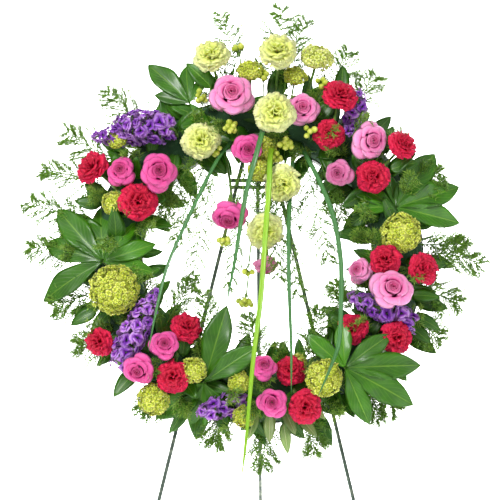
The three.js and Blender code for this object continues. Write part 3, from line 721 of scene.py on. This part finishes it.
def hydrangeaHead(size, seed):
    # florets at golden-angle places on a flattened ball, each facing out, over a ball of stalks
    count = int(3.3 * (size / floretSpan) ** 2)
    directions = domeDirections(count, 128, seed)
    rng = np.random.default_rng(seed)
    spread = np.where(directions[:, 2:] > 0, [[0.5, 0.5, 0.36]], [[0.5, 0.5, 0.30]]) * size
    origins = directions * (spread - 0.25 * floretSpan) * rng.uniform(0.93, 1.05, (count, 1))
    tilted = unit(directions + rng.normal(0, 0.22, directions.shape))
    turns = turnsTo(tilted, rng.uniform(0, 6.28, count))
    florets = scattered(floret(4, 0.60, 0.40, 0.16), origins, turns,
                        0.80 * floretSpan * rng.uniform(0.85, 1.15, count), rng.uniform(0, 1, count))
    eyes = scattered(bead, origins + tilted * 0.6, turns, 0.8)
    stalks = tubes(np.stack([origins * 0.25, origins * 0.6, origins], axis=1), 0.5, 4)
    core = turnedSolid([[0, -0.26], [0.24, -0.2], [0.36, 0], [0.3, 0.16], [0.15, 0.24], [0, 0.25]], 14)
    return florets, eyes, merged([stalks, moved(core, np.zeros(3), np.eye(3), size)])


def makeHydrangeas():
    for number, (clock, out, lift, size) in enumerate(hydrangeas, 1):
        name = f"hydrangea_{number:02d}"
        centre = place(clock, out, lift)
        facing = facingOf(centre, clock)
        turn = turnsTo(facing)[0]
        petals = hydrangeaPale if number in paleHydrangeas else hydrangeaLime
        florets, eyes, green = (moved(part, centre, turn) for part in hydrangeaHead(size, 200 + number))
        stem = stemTo(centre - facing * 0.26 * size, facing, clock)
        layers = [(florets, petals), (eyes, hydrangeaPale), (green, hydrangeaLime), (stem, stemGreen)]
        makePiece(f"{name}_florets", layers, [name])
    for number, (clock, out, lift, size) in enumerate(hydrangeaBits, 1):
        centre = place(clock, out, lift)
        facing = facingOf(centre, clock)
        turn = turnsTo(facing)[0]
        florets, eyes, green = (moved(part, centre, turn) for part in hydrangeaHead(size, 230 + number))
        stem = stemTo(centre - facing * 0.26 * size, facing, clock, 1.5)
        layers = [(florets, hydrangeaLime), (eyes, hydrangeaPale), (green, hydrangeaLime), (stem, stemGreen)]
        makePiece(f"hydrangea_bit_{number:02d}_florets", layers)


makeHydrangeas()
print("hydrangeas made")

stocks = [
    {"root": 326, "from": [325, 12, 80], "to": [312, 74, 88], "size": 50, "name": "stock_01"},
    {"root": 233, "from": [230, 51, 64], "to": [246, -56, 94], "size": 40, "name": "stock_02"},
    {"root": 114, "from": [115, 44, 62], "to": [118, -62, 88], "size": 34, "name": "stock_03"},
    {"root": 39, "from": [38.8, 21, 30], "to": [32, 80, 70], "size": 36},
    {"root": 184, "from": [184, 6, 40], "to": [199, 46, 75], "size": 34},
    {"root": 318, "from": [320, 30, 60], "to": [305, 92, 66], "size": 34},
]


def stockFloret(seed, petals=8):
    # a small double flower: broad petals stand in two tiers, each crinkled along its rim
    rng = np.random.default_rng(seed)
    k = np.arange(petals)
    inner = (k < 3)[:, None, None]
    turn = np.radians(137.5 * k + rng.uniform(-20, 20, petals))[:, None, None]
    across = np.linspace(-1, 1, 5)[None, None, :]
    along = np.linspace(0, 1, 5)[None, :, None]
    reach = np.where(inner, 0.28, 0.5) * rng.uniform(0.85, 1.1, petals)[:, None, None]
    phase = rng.uniform(0, 6.28, petals)[:, None, None]
    crinkle = 0.06 * along ** 2 * np.sin(3.4 * across + phase)
    half = (0.04 + 0.26 * along ** 0.8) * across
    radius = 0.03 + reach * along * (1 - 0.18 * across ** 2)
    height = np.where(inner, 0.34, 0.20) * along ** 0.7 - 0.16 * along ** 2 + crinkle
    return petalSheets(fanPoints(radius, half, height, turn), 0.02)


def makeStocks():
    kinds = [stockFloret(seed) for seed in range(3)]
    for number, spike in enumerate(stocks, 1):
        low, high = place(*spike["from"]), place(*spike["to"])
        axis = unit(high - low)
        length = np.linalg.norm(high - low)
        rng = np.random.default_rng(300 + number)
        count = int(0.30 * length * spike["size"] / 40)
        step = (np.arange(count) + 0.5) / count
        body = np.interp(step, [0, 0.16, 0.5, 0.78, 0.96, 1], [0.3, 0.5, 0.5, 0.4, 0.2, 0.05]) * spike["size"]
        turn = turnsTo(axis)[0]
        angle = np.radians(137.5 * np.arange(count) + rng.uniform(-12, 12, count))
        outwards = np.stack([np.cos(angle), np.sin(angle), 0.15 + 0.9 * step ** 3], axis=-1) @ turn.T
        outwards = unit(outwards)
        radial = outwards - (outwards @ axis)[:, None] * axis
        origins = (low + axis * (step * length)[:, None]
                   + unit(radial) * (body - 0.10 * spike["size"])[:, None])
        sizes = np.interp(step, [0, 0.7, 1], [25, 22, 11]) * rng.uniform(0.85, 1.15, count)
        facings = unit(outwards + rng.normal(0, 0.2, outwards.shape))
        turns = turnsTo(facings, rng.uniform(0, 6.28, count))
        florets = merged([scattered(kinds[kind], origins[kind::3], turns[kind::3], sizes[kind::3],
                                    rng.uniform(0, 1, len(origins[kind::3]))) for kind in range(3)])
        middles = low + axis * (step * length)[:, None]
        stalks = tubes(np.stack([middles, 0.5 * (middles + origins), origins], axis=1), 0.9, 5)
        core = tubes(np.stack([low, 0.5 * (low + high), high])[None], [[2.4, 2.2, 1.0]], 7)
        name = spike.get("name")
        layers = [(florets, stockPurple), (merged([stalks, core]), stemGreen),
                  (stemTo(low + axis * 3, axis, spike["root"]), stemGreen)]
        makePiece(f"{name or f'stock_spike_{number:02d}'}_florets", layers,
                  [name] if name else [])


makeStocks()
print("stock made,", triangleCount[0], "triangles so far")

fatsiaGreen = leafMaterial("fatsia_leaf_waxed", "#164400", "#488a00", "#78a62c", roughness=0.34, coat=0.12)
salalGreen = leafMaterial("salal_leaf_waxed", "#123a00", "#3e7c00", "#74a038", roughness=0.38, coat=0.08)
creamGreen = leafMaterial("pittosporum_leaf_cream_edged", "#4d7a33", "#9fb46a", "#dfe3b0", roughness=0.4)

# centre, root clock, facing and lobes as [direction clock, length]
fatsiaLeaves = [
    {"centre": [266, 16, 60], "root": 262, "faces": [-0.15, 0.1, 1],
     "lobes": [[244, 112], [289, 106], [318, 122], [354, 94], [36, 80], [72, 84], [104, 78]]},
    {"centre": [336, 40, 56], "root": 338, "faces": [-0.1, 0.1, 1],
     "lobes": [[285, 60], [318, 100], [350, 70], [25, 50], [140, 40]]},
    {"centre": [72, 6, 56], "root": 73, "faces": [0.15, 0.1, 1],
     "lobes": [[301, 60], [350, 60], [32, 118], [69, 114], [101, 104], [140, 60], [269, 66]]},
    {"centre": [144, 8, 88], "root": 142, "faces": [-0.05, -0.1, 1],
     "lobes": [[51, 84], [87, 112], [116, 114], [158, 90], [310, 76], [355, 72]]},
    {"centre": [201, -2, 64], "root": 199, "faces": [-0.2, -0.3, 1],
     "lobes": [[19, 118], [55, 98], [151, 66], [193, 90], [236, 98]]},
]


def lobeBlades(lobes, seed, rows=19, cols=9):
    # Each lobe is a blade from the leaf's centre along its own direction, widest at 0.6 of its
    # length and pointed; it is folded up either side of its midrib, waves at its edges and droops.
    rng = np.random.default_rng(seed)
    clock = np.radians([lobe[0] for lobe in lobes])[:, None, None]
    length = np.array([lobe[1] for lobe in lobes], float)[:, None, None]
    across = np.linspace(-1, 1, cols)[None, None, :]
    along = np.linspace(0, 1, rows)[None, :, None]
    width = 0.185 * np.sin(np.pi * np.clip(along, 0, 1) ** 1.25) ** 0.85
    web = 0.30 * along * np.clip(1.5 - 2.6 * along, 0, 1)
    half = length * np.maximum(np.maximum(width, web), 0.004) * across
    run = length * along
    phase = rng.uniform(0, 6.28, clock.shape)
    fold = (0.30 - 0.10 * along) * np.abs(half)
    wave = 0.018 * length * np.abs(across) ** 2 * np.sin(15 * along + phase)
    droop = rng.uniform(0.10, 0.22, clock.shape) * length * along ** 2.2
    height = fold + wave - droop + rng.uniform(-0.8, 0.8, clock.shape)
    bend = 0.05 * length * along ** 2 * np.sin(phase)
    return gridOf(run * np.sin(clock) + (half + bend) * np.cos(clock),
                  run * np.cos(clock) - (half + bend) * np.sin(clock), height)


def frameOf(facing):
    # the rotation that takes +Z to the facing by the shortest turn, as a matrix
    turn = Vector((0, 0, 1)).rotation_difference(Vector(facing)).to_matrix()
    return np.array(turn)


def makeFatsia():
    for number, leaf in enumerate(fatsiaLeaves, 1):
        name = f"fatsia_leaf_{number:02d}"
        centre, facing = place(*leaf["centre"]), unit(leaf["faces"])
        turn = frameOf(facing)
        blades = closedSheets(lobeBlades(leaf["lobes"], 400 + number), 0.9)
        layers = [(moved(blades, centre, turn), fatsiaGreen),
                  (stemTo(centre, facing, leaf["root"], 1.8), stemGreen)]
        makePiece(f"{name}_lobes", layers, [name])


makeFatsia()
print("fatsia made")

grassBlue = leafMaterial("lily_grass_blade", "#1f5a1c", "#4c8c44", "#8fbc86", roughness=0.38, patchScale=14.0)
grassLime = leafMaterial("lily_grass_new_blade", "#5c9c10", "#a0d018", "#cfe860", roughness=0.38,
                         patchScale=14.0)

grassBlades = [
    [[-38, 194, 30], [-42, 170, 56], [-60, 138, 76], [-112, 16, 105], [-131, -35, 112], [-146, -103, 116],
     [-157, -163, 112]],
    [[6, 200, 34], [9, 184, 80], [9, 172, 108], [2, 140, 120], [-14, 78, 116], [-30, -20, 110],
     [-43, -91, 100]],
    [[28, 196, 34], [26, 170, 62], [21, 140, 96], [20, 96, 110], [14, 6, 112], [8, -87, 122], [-2, -175, 130],
     [-13, -299, 118], [-19, -347, 106]],
    [[60, 186, 32], [56, 160, 46], [53, 110, 52], [50, 60, 78], [49, 0, 102], [50, -70, 110], [53, -164, 108],
     [53, -223, 100]],
    [[66, 182, 30], [72, 158, 54], [94, 108, 76], [115, 47, 98], [126, -25, 112], [126, -90, 118],
     [122, -152, 122], [108, -192, 130], [92, -228, 122]],
]
grassLooks = [grassBlue, grassBlue, grassLime, grassBlue, grassBlue]
grassWidths = [5.4, 8.0, 8.0, 6.4, 7.4]


def smoothPath(points, stepsEach=10):
    # centripetal Catmull-Rom curve through the listed points
    points = np.asarray(points, float)
    points = np.concatenate([2 * points[:1] - points[1:2], points, 2 * points[-1:] - points[-2:-1]])
    knots = np.concatenate([[0], np.cumsum(np.linalg.norm(np.diff(points, axis=0), axis=1) ** 0.5)])
    spans = []
    for i in range(1, len(points) - 2):
        t = np.linspace(knots[i], knots[i + 1], stepsEach, endpoint=i == len(points) - 3)[:, None]
        k0, k1, k2, k3 = knots[i - 1:i + 3]
        a1 = (k1 - t) / (k1 - k0) * points[i - 1] + (t - k0) / (k1 - k0) * points[i]
        a2 = (k2 - t) / (k2 - k1) * points[i] + (t - k1) / (k2 - k1) * points[i + 1]
        a3 = (k3 - t) / (k3 - k2) * points[i + 1] + (t - k2) / (k3 - k2) * points[i + 2]
        b1 = (k2 - t) / (k2 - k0) * a1 + (t - k0) / (k2 - k0) * a2
        b2 = (k3 - t) / (k3 - k1) * a2 + (t - k1) / (k3 - k1) * a3
        spans.append((k2 - t) / (k2 - k1) * b1 + (t - k1) / (k2 - k1) * b2)
    return np.concatenate(spans)


def ribbon(path, width, facing=(0.0, 0.25, 1.0), fold=0.28, cols=5):
    # a strip square to its path that narrows at both ends and is creased along its middle
    tangent = unit(np.gradient(path, axis=0))
    side = unit(np.cross(tangent, unit(facing)))
    up = np.cross(side, tangent)
    across = np.linspace(-1, 1, cols)[None, :, None]
    t = np.linspace(0, 1, len(path))[:, None, None]
    half = 0.5 * width * np.minimum(1, 0.55 + 2.5 * t) * (1 - t ** 5) ** 0.8 + 0.15
    strip = path[:, None] + side[:, None] * half * across + up[:, None] * half * fold * np.abs(across)
    return strip[None]


def makeGrass():
    for number, (route, look, width) in enumerate(zip(grassBlades, grassLooks, grassWidths), 1):
        name = f"grass_blade_{number:02d}"
        strip = closedSheets(ribbon(smoothPath(route), width), 0.7)
        makePiece(f"{name}_strip", [(strip, look)], [name])


makeGrass()
print("grass made,", triangleCount[0], "triangles so far")

fernGreen = stemMaterial("asparagus_fern_needles", "#3c6a14", "#86b43c", roughness=0.5)
fernTwig = stemMaterial("asparagus_fern_twig", "#34601a", "#6c9834", roughness=0.5)
needle = {
    "verts": np.array([[0.08, 0, 0], [-0.04, 0.07, 0], [-0.04, -0.07, 0], [0, 0, 1.0]]),
    "tris": np.array([[0, 2, 1], [0, 1, 3], [1, 2, 3], [2, 0, 3]]),
    "uv": np.array([[0.5, 0], [0, 0], [1, 0], [0.5, 1.0]]), "tone": np.full(4, 0.5)}

fernSprays = [
    {"root": 2, "tip": [5, 198, 12], "half": 46, "name": "fern_frond_01"},
    {"root": 306, "tip": [304, 152, 12], "half": 44, "name": "fern_frond_02"},
    {"root": 281, "tip": [284, 156, 12], "half": 40, "name": "fern_frond_03"},
    {"root": 90, "tip": [92, 130, 12], "half": 42, "name": "fern_frond_04"},
    {"root": 353, "tip": [351, 179, 40], "half": 34},
    {"root": 9, "tip": [11.5, 176, 30], "half": 34},
    {"root": 320, "tip": [318, 141, 30], "half": 40},
    {"root": 293, "tip": [292, 148, 26], "half": 40},
    {"root": 272, "tip": [272, 139, 24], "half": 38},
    {"root": 257, "tip": [255, 108, 30], "half": 34},
    {"root": 22, "tip": [23, 146, 30], "half": 38},
    {"root": 33, "tip": [33, 132, 24], "half": 38},
    {"root": 66, "tip": [65, 97, 30], "half": 34},
    {"root": 86, "tip": [87, 104, 30], "half": 34},
    {"root": 102, "tip": [103, 102, 26], "half": 36},
    {"root": 114, "tip": [115, 92, 26], "half": 34},
    {"root": 139, "tip": [138, 103, 26], "half": 34},
    {"root": 146, "tip": [144, 100, 40], "half": 28},
    {"root": 163, "tip": [164, 101, 30], "half": 32},
    {"root": 178, "tip": [178, 109, 26], "half": 34},
    {"root": 192, "tip": [192, 80, 30], "half": 32},
    {"root": 215, "tip": [215.5, 77, 28], "half": 34},
    {"root": 240, "tip": [243, 92, 28], "half": 36},
]


def fernSpray(start, tip, half, seed, arch=0.12, pairs=14, spacing=3.2, needleLength=11.0):
    # A stalk bows from its root to its tip. Side twigs leave it in turn to left and right, longest
    # a third of the way up, and needles stand round each twig in a spiral.
    rng = np.random.default_rng(seed)
    start, tip = np.asarray(start, float), np.asarray(tip, float)
    length = np.linalg.norm(tip - start)
    forward = np.array([0, 0, 1.0])
    side = unit(np.cross(unit(tip - start), forward))
    sway = side * rng.uniform(-0.14, 0.14) * length + forward * arch * length
    stalk = bezier(start, 0.5 * (start + tip) + sway, tip, 16)
    k = np.arange(2 * pairs)
    t = 0.16 + 0.80 * (k + rng.uniform(-0.3, 0.3, 2 * pairs)) / (2 * pairs)
    index = t * (len(stalk) - 1)
    low = np.floor(index).astype(int)
    mix = (index - low)[:, None]
    roots = stalk[low] * (1 - mix) + stalk[low + 1] * mix
    tangent = unit(stalk[low + 1] - stalk[low])
    hand = np.where(k % 2 == 0, 1.0, -1.0)[:, None]
    leave = unit(tangent * rng.uniform(0.7, 1.1, (len(k), 1)) + side * hand
                 + rng.normal(0, 0.28, (len(k), 3)))
    reach = half * np.sin(np.pi * (0.30 + 0.66 * t)) ** 0.8 * rng.uniform(0.75, 1.15, len(k))
    droop = np.array([0, -0.12, 0.0])
    s = np.linspace(0, 1, 7)[None, :, None]
    twigs = roots[:, None] + leave[:, None] * reach[:, None, None] * s
    twigs = twigs + (tangent[:, None] * 0.18 + droop) * reach[:, None, None] * s ** 2
    perTwig = max(5, int(half / spacing))
    place01 = (np.arange(perTwig) + 0.5) / perTwig
    position = place01 * 6
    cell = np.minimum(np.floor(position).astype(int), 5)
    part = (position - cell)[None, :, None]
    nodes = twigs[:, cell] * (1 - part) + twigs[:, cell + 1] * part
    direction = unit(twigs[:, cell + 1] - twigs[:, cell])
    origins = np.repeat(nodes.reshape(-1, 3), 3, axis=0)
    direction = np.repeat(direction.reshape(-1, 3), 3, axis=0)
    outwards = unit(np.cross(direction, rng.normal(0, 1, direction.shape)))
    facing = unit(direction * 0.75 + outwards * 0.8)
    lengths = needleLength * rng.uniform(0.7, 1.15, len(origins))
    needles = scattered(needle, origins, turnsTo(facing), lengths, rng.uniform(0, 1, len(origins)))
    wood = merged([tubes(stalk[None], np.linspace(1.2, 0.6, 16)[None], 5), tubes(twigs, 0.5, 3)])
    return needles, wood


def makeFern():
    for number, spray in enumerate(fernSprays, 1):
        start = place(spray["root"], 24, 34)
        needles, wood = fernSpray(start, place(*spray["tip"]), spray["half"], 500 + number)
        name = spray.get("name")
        makePiece(f"{name or f'fern_spray_{number:02d}'}_needles", [(needles, fernGreen), (wood, fernTwig)],
                  [name] if name else [])


# hanging sprays in the opening: start, tip and half width, as [right, up, forward]
openingSprays = [
    ([-52, 168, 44], [-98, -66, 56], 34), ([-70, 160, 40], [-128, 6, 48], 30),
    ([-22, 172, 44], [-46, -70, 62], 30),
    ([42, 168, 44], [66, -84, 58], 36), ([72, 158, 42], [112, -24, 50], 36),
    ([50, 164, 46], [38, -60, 74], 30),
    ([98, 146, 40], [134, 46, 46], 30), ([-104, 140, 40], [-146, 44, 46], 28),
    ([-66, -168, 44], [-84, -58, 56], 30),
    ([74, -164, 44], [96, -84, 52], 28), ([6, -174, 44], [-14, -96, 50], 28),
    ([-138, -112, 44], [-98, -40, 54], 26),
    ([150, -92, 44], [118, -48, 52], 26), ([10, 172, 46], [16, 30, 60], 26),
]


def makeOpeningFern():
    for number, (start, tip, half) in enumerate(openingSprays, 1):
        needles, wood = fernSpray(start, tip, half, 560 + number, arch=0.06, pairs=13)
        makePiece(f"hanging_fern_{number:02d}_needles", [(needles, fernGreen), (wood, fernTwig)])


def foamLift(out):
    # the foam's crown is half an ellipse over upright sides
    return 18 + 34 * np.sqrt(np.clip(1 - (np.asarray(out, float) / 38) ** 2, 0, 1))


def crownPlaces(count, seed, spread=37.0):
    # golden-angle places all round the ring, which cross it in turn from the inner to the outer edge
    rng = np.random.default_rng(seed)
    k = np.arange(count)
    clock = (k * 360 / count + rng.uniform(-3, 3, count)) % 360
    out = spread * (2 * ((k * 0.618034) % 1) - 1)
    return clock, out, rng


def radialAt(clock):
    angle = np.radians(clock)
    return gridOf(np.sin(angle), np.cos(angle), 0.0), gridOf(np.cos(angle), -np.sin(angle), 0.0)


def makeTufts(count=56):
    # short sprays stand out of the foam between the flowers, leaning the way their root is set
    clock, out, rng = crownPlaces(count, 71)
    radial, tangent = radialAt(clock)
    starts = place(clock, out, foamLift(out) - 3)
    lean = unit(radial * (out / 37)[:, None] * 0.9 + tangent * rng.uniform(-0.8, 0.8, (count, 1))
                + np.array([0, 0, 1.0]) * rng.uniform(0.45, 0.9, (count, 1)))
    tips = starts + lean * rng.uniform(44, 66, (count, 1))
    for group in range(6):
        needles, wood = zip(*[fernSpray(starts[i], tips[i], 20, 700 + i, arch=0.05, pairs=6, needleLength=9.0)
                              for i in range(group, count, 6)])
        makePiece(f"fern_tufts_{group + 1:02d}", [(merged(needles), fernLight), (merged(wood), fernTwig)])


def leafBlades(bases, directions, normals, lengths, widths, seed, rows=9, cols=5):
    # Oval blades with a pointed tip, folded up along the midrib and arched back towards the tip.
    rng = np.random.default_rng(seed)
    across = np.linspace(-1, 1, cols)[None, None, :, None]
    along = np.linspace(0, 1, rows)[None, :, None, None]
    side = unit(np.cross(directions, normals))
    normal = np.cross(side, directions)
    lengths, widths = (np.asarray(value, float)[:, None, None, None] for value in (lengths, widths))
    half = 0.5 * widths * np.sin(np.pi * along ** 0.8) ** 0.75 + 0.25
    arch = -rng.uniform(0.08, 0.3, lengths.shape) * lengths * along ** 2
    height = 0.28 * half * np.abs(across) + arch
    side, normal, directions, bases = (value[:, None, None] for value in (side, normal, directions, bases))
    return closedSheets(bases + directions * lengths * along + side * half * across + normal * height, 0.7)


def makeFillerLeaves(count=168):
    # oval leaves cover the foam: they lie low, and those at its edges point inwards or outwards
    clock, out, rng = crownPlaces(count, 83, 40.0)
    radial, tangent = radialAt(clock)
    edge = (out / 40)[:, None]
    bases = place(clock, out, foamLift(out) - 4)
    directions = unit(radial * edge * 1.3 + tangent * rng.uniform(-1, 1, (count, 1)) * (1.15 - np.abs(edge))
                      + np.array([0, 0, 1.0]) * rng.uniform(0.10, 0.42, (count, 1)))
    normals = unit(np.array([0, 0, 1.0]) + rng.normal(0, 0.35, (count, 3)))
    lengths = rng.uniform(40, 62, count)
    leaves = [leafBlades(bases[group::8], directions[group::8], normals[group::8], lengths[group::8],
                         lengths[group::8] * rng.uniform(0.42, 0.55, len(lengths[group::8])), 90 + group)
              for group in range(8)]
    for group, part in enumerate(leaves, 1):
        makePiece(f"salal_leaves_{group:02d}", [(part, salalGreen)])


# single leaves seen from the front: base and tip [clock, out, lift], then width
namedLeaves = [
    ([331, -36, 44], [339, -84, 60], 30), ([24, 10, 56], [27, 52, 66], 26),
    ([287, 32, 52], [286, 72, 56], 24),
    ([250, 40, 44], [249, 84, 52], 24), ([106, 26, 56], [104, 66, 66], 22),
    ([112, 40, 50], [113, 84, 56], 20),
    ([58, 22, 58], [60, 66, 68], 26), ([214, -20, 60], [222, -62, 78], 22),
    ([345, 52, 52], [340, 104, 60], 30),
    ([28, 60, 50], [24, 110, 54], 24), ([192, 20, 50], [190, 62, 58], 22), ([130, 40, 50], [131, 82, 54], 22),
]
creamLeaves = [
    ([170, 24, 56], [168, 66, 70], 18), ([175, 30, 56], [176, 74, 68], 18),
    ([166, 36, 50], [162, 78, 60], 17),
    ([180, 26, 52], [182, 64, 66], 17), ([171, 44, 46], [171, 90, 54], 17),
    ([162, 20, 60], [158, 56, 74], 16),
]


def makeNamedLeaves():
    for name, leaves, look in (("broad_leaves", namedLeaves, salalGreen),
                               ("pittosporum_leaves", creamLeaves, creamGreen)):
        bases = np.array([place(*base) for base, tip, width in leaves])
        tips = np.array([place(*tip) for base, tip, width in leaves])
        lengths = np.linalg.norm(tips - bases, axis=-1)
        normals = np.tile([0.0, 0.2, 1.0], (len(leaves), 1))
        blades = leafBlades(bases, unit(tips - bases), normals, lengths,
                            [width for base, tip, width in leaves], 60)
        makePiece(name, [(blades, look)])


fernLight = stemMaterial("asparagus_fern_young_needles", "#4f8020", "#9fc04a", roughness=0.5)
makeFern()
makeOpeningFern()
makeTufts()
makeFillerLeaves()
makeNamedLeaves()
print("fern and leaves made,", triangleCount[0], "triangles so far")

# the petal shader paints shade at each berry's stalk end and a highlight at its tip
berrySkin = petalMaterial("hypericum_berry_skin", "#7f9426", "#a9b83a", "#b9c548", "#d2d46a",
                          roughness=0.35, glow=0.1)
# [clock, out, lift] of each cluster and how many berries it has
berryClusters = [
    ([355, 106, 60], 6), ([340, 34, 82], 6), ([348, -26, 84], 8), ([21, 62, 72], 6), ([16, -48, 84], 7),
    ([288.7, -166, 60], 9), ([192, -140, 52], 7), ([202, -184, 60], 4), ([2, 60, 64], 5), ([338, -50, 70], 5),
    ([12, -70, 70], 6), ([24, -20, 92], 4),
]


def makeBerries():
    berry = turnedSolid([[0, -1], [0.5, -0.9], [0.86, -0.5], [1, 0], [0.88, 0.5], [0.6, 0.85], [0.25, 1.1],
                         [0, 1.2]], 12)
    cup = sepalStar(5, 1.05, 0.42, -0.4, -1.05)
    for number, ((clock, out, lift), count) in enumerate(berryClusters, 1):
        centre = place(clock, out, lift)
        rng = np.random.default_rng(800 + number)
        root = place(clock, np.clip(out, -30, 34), 40) if out > -120 else centre + np.array([4.0, 44, -8])
        axis = unit(centre - root)
        spread = unit(np.tile(axis, (count, 1)) * 0.9
                      + domeDirections(count, 95, number, 0.3) @ turnsTo(axis)[0].T)
        reach = rng.uniform(9, 15, (count, 1))
        origins = centre - axis * 8 + spread * reach
        turns = turnsTo(spread)
        sizes = rng.uniform(4.0, 5.2, count)
        fruit = scattered(berry, origins, turns, sizes, rng.uniform(0, 1, count))
        sepals = scattered(cup, origins, turns, sizes)
        fork = np.tile(centre - axis * 14, (count, 1))
        stalks = tubes(np.stack([fork, 0.5 * (fork + origins) + axis, origins], axis=1), 0.8, 5)
        main = tubes(bezier(root, 0.5 * (root + fork[0]), fork[0], 6)[None], 1.3, 6)
        makePiece(f"berry_cluster_{number:02d}", [(fruit, berrySkin), (sepals, sepalGreen),
                                                  (merged([stalks, main]), stemGreen)])


makeBerries()
print("berries made")


def enamelMaterial():
    # dip-coated steel wire: a dark green skin with a soft gloss, scuffed grey in patches scattered by noise
    material, tree = newMaterial("wire_dip_coated_green")
    position = addNode(tree, "ShaderNodeTexCoord")
    scuffs = noiseOf(tree, position.outputs["Object"], 90.0, 5.0)
    mask = spanOf(tree, scuffs.outputs["Fac"], (0.52, 0.68))
    colour = mixOf(tree, mask.outputs[0], hexToLinear("#4b594e"), hexToLinear("#848e7c"))
    bump = bumpOf(tree, scuffs.outputs["Fac"], 0.2, 0.0004)
    shader = addNode(tree, "ShaderNodeBsdfPrincipled",
                     {"Base Color": colour.outputs[2], "Roughness": 0.36, "Metallic": 0.25,
                      "Normal": bump.outputs[0],
                      "Coat Weight": 0.3, "Coat Roughness": 0.2})
    addNode(tree, "ShaderNodeOutputMaterial", {"Surface": shader.outputs[0]})
    return material


def foamMaterial():
    # wet floral foam: open cells a fraction of a millimetre wide, drawn coarser so that they show
    material, tree = newMaterial("floral_foam_open_cell")
    position = addNode(tree, "ShaderNodeTexCoord")
    cells = addNode(tree, "ShaderNodeTexVoronoi", {"Vector": position.outputs["Object"], "Scale": 700.0})
    damp = noiseOf(tree, position.outputs["Object"], 22.0, 4.0)
    colour = mixOf(tree, damp.outputs["Fac"], hexToLinear("#16351c"), hexToLinear("#2f5a34"))
    bump = bumpOf(tree, cells.outputs["Distance"], 0.6, 0.001)
    shader = addNode(tree, "ShaderNodeBsdfPrincipled",
                     {"Base Color": colour.outputs[2], "Roughness": 0.9, "Normal": bump.outputs[0]})
    addNode(tree, "ShaderNodeOutputMaterial", {"Surface": shader.outputs[0]})
    return material


def trayMaterial():
    # moulded polystyrene tray: matt dark green with a faint orange-peel skin
    material, tree = newMaterial("tray_moulded_polystyrene")
    position = addNode(tree, "ShaderNodeTexCoord")
    peel = noiseOf(tree, position.outputs["Object"], 320.0, 2.0)
    wear = noiseOf(tree, position.outputs["Object"], 16.0, 4.0)
    colour = mixOf(tree, wear.outputs["Fac"], hexToLinear("#1c2b1c"), hexToLinear("#34452f"))
    bump = bumpOf(tree, peel.outputs["Fac"], 0.25, 0.0005)
    shader = addNode(tree, "ShaderNodeBsdfPrincipled",
                     {"Base Color": colour.outputs[2], "Roughness": 0.55, "Normal": bump.outputs[0]})
    addNode(tree, "ShaderNodeOutputMaterial", {"Surface": shader.outputs[0]})
    return material


def dressNodes(material, *names):
    for name in names:
        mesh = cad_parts[name].data
        mesh.materials.clear()
        mesh.materials.append(material)


dressNodes(enamelMaterial(), "front_leg_left", "front_leg_right", "rear_leg", "pivot_wire", "stop_wire",
           "hanging_loop", "rest_wire")
dressNodes(foamMaterial(), "foam_ring")
dressNodes(trayMaterial(), "ring_tray")
print("foam, tray and wire dressed")

print("triangles added:", triangleCount[0])
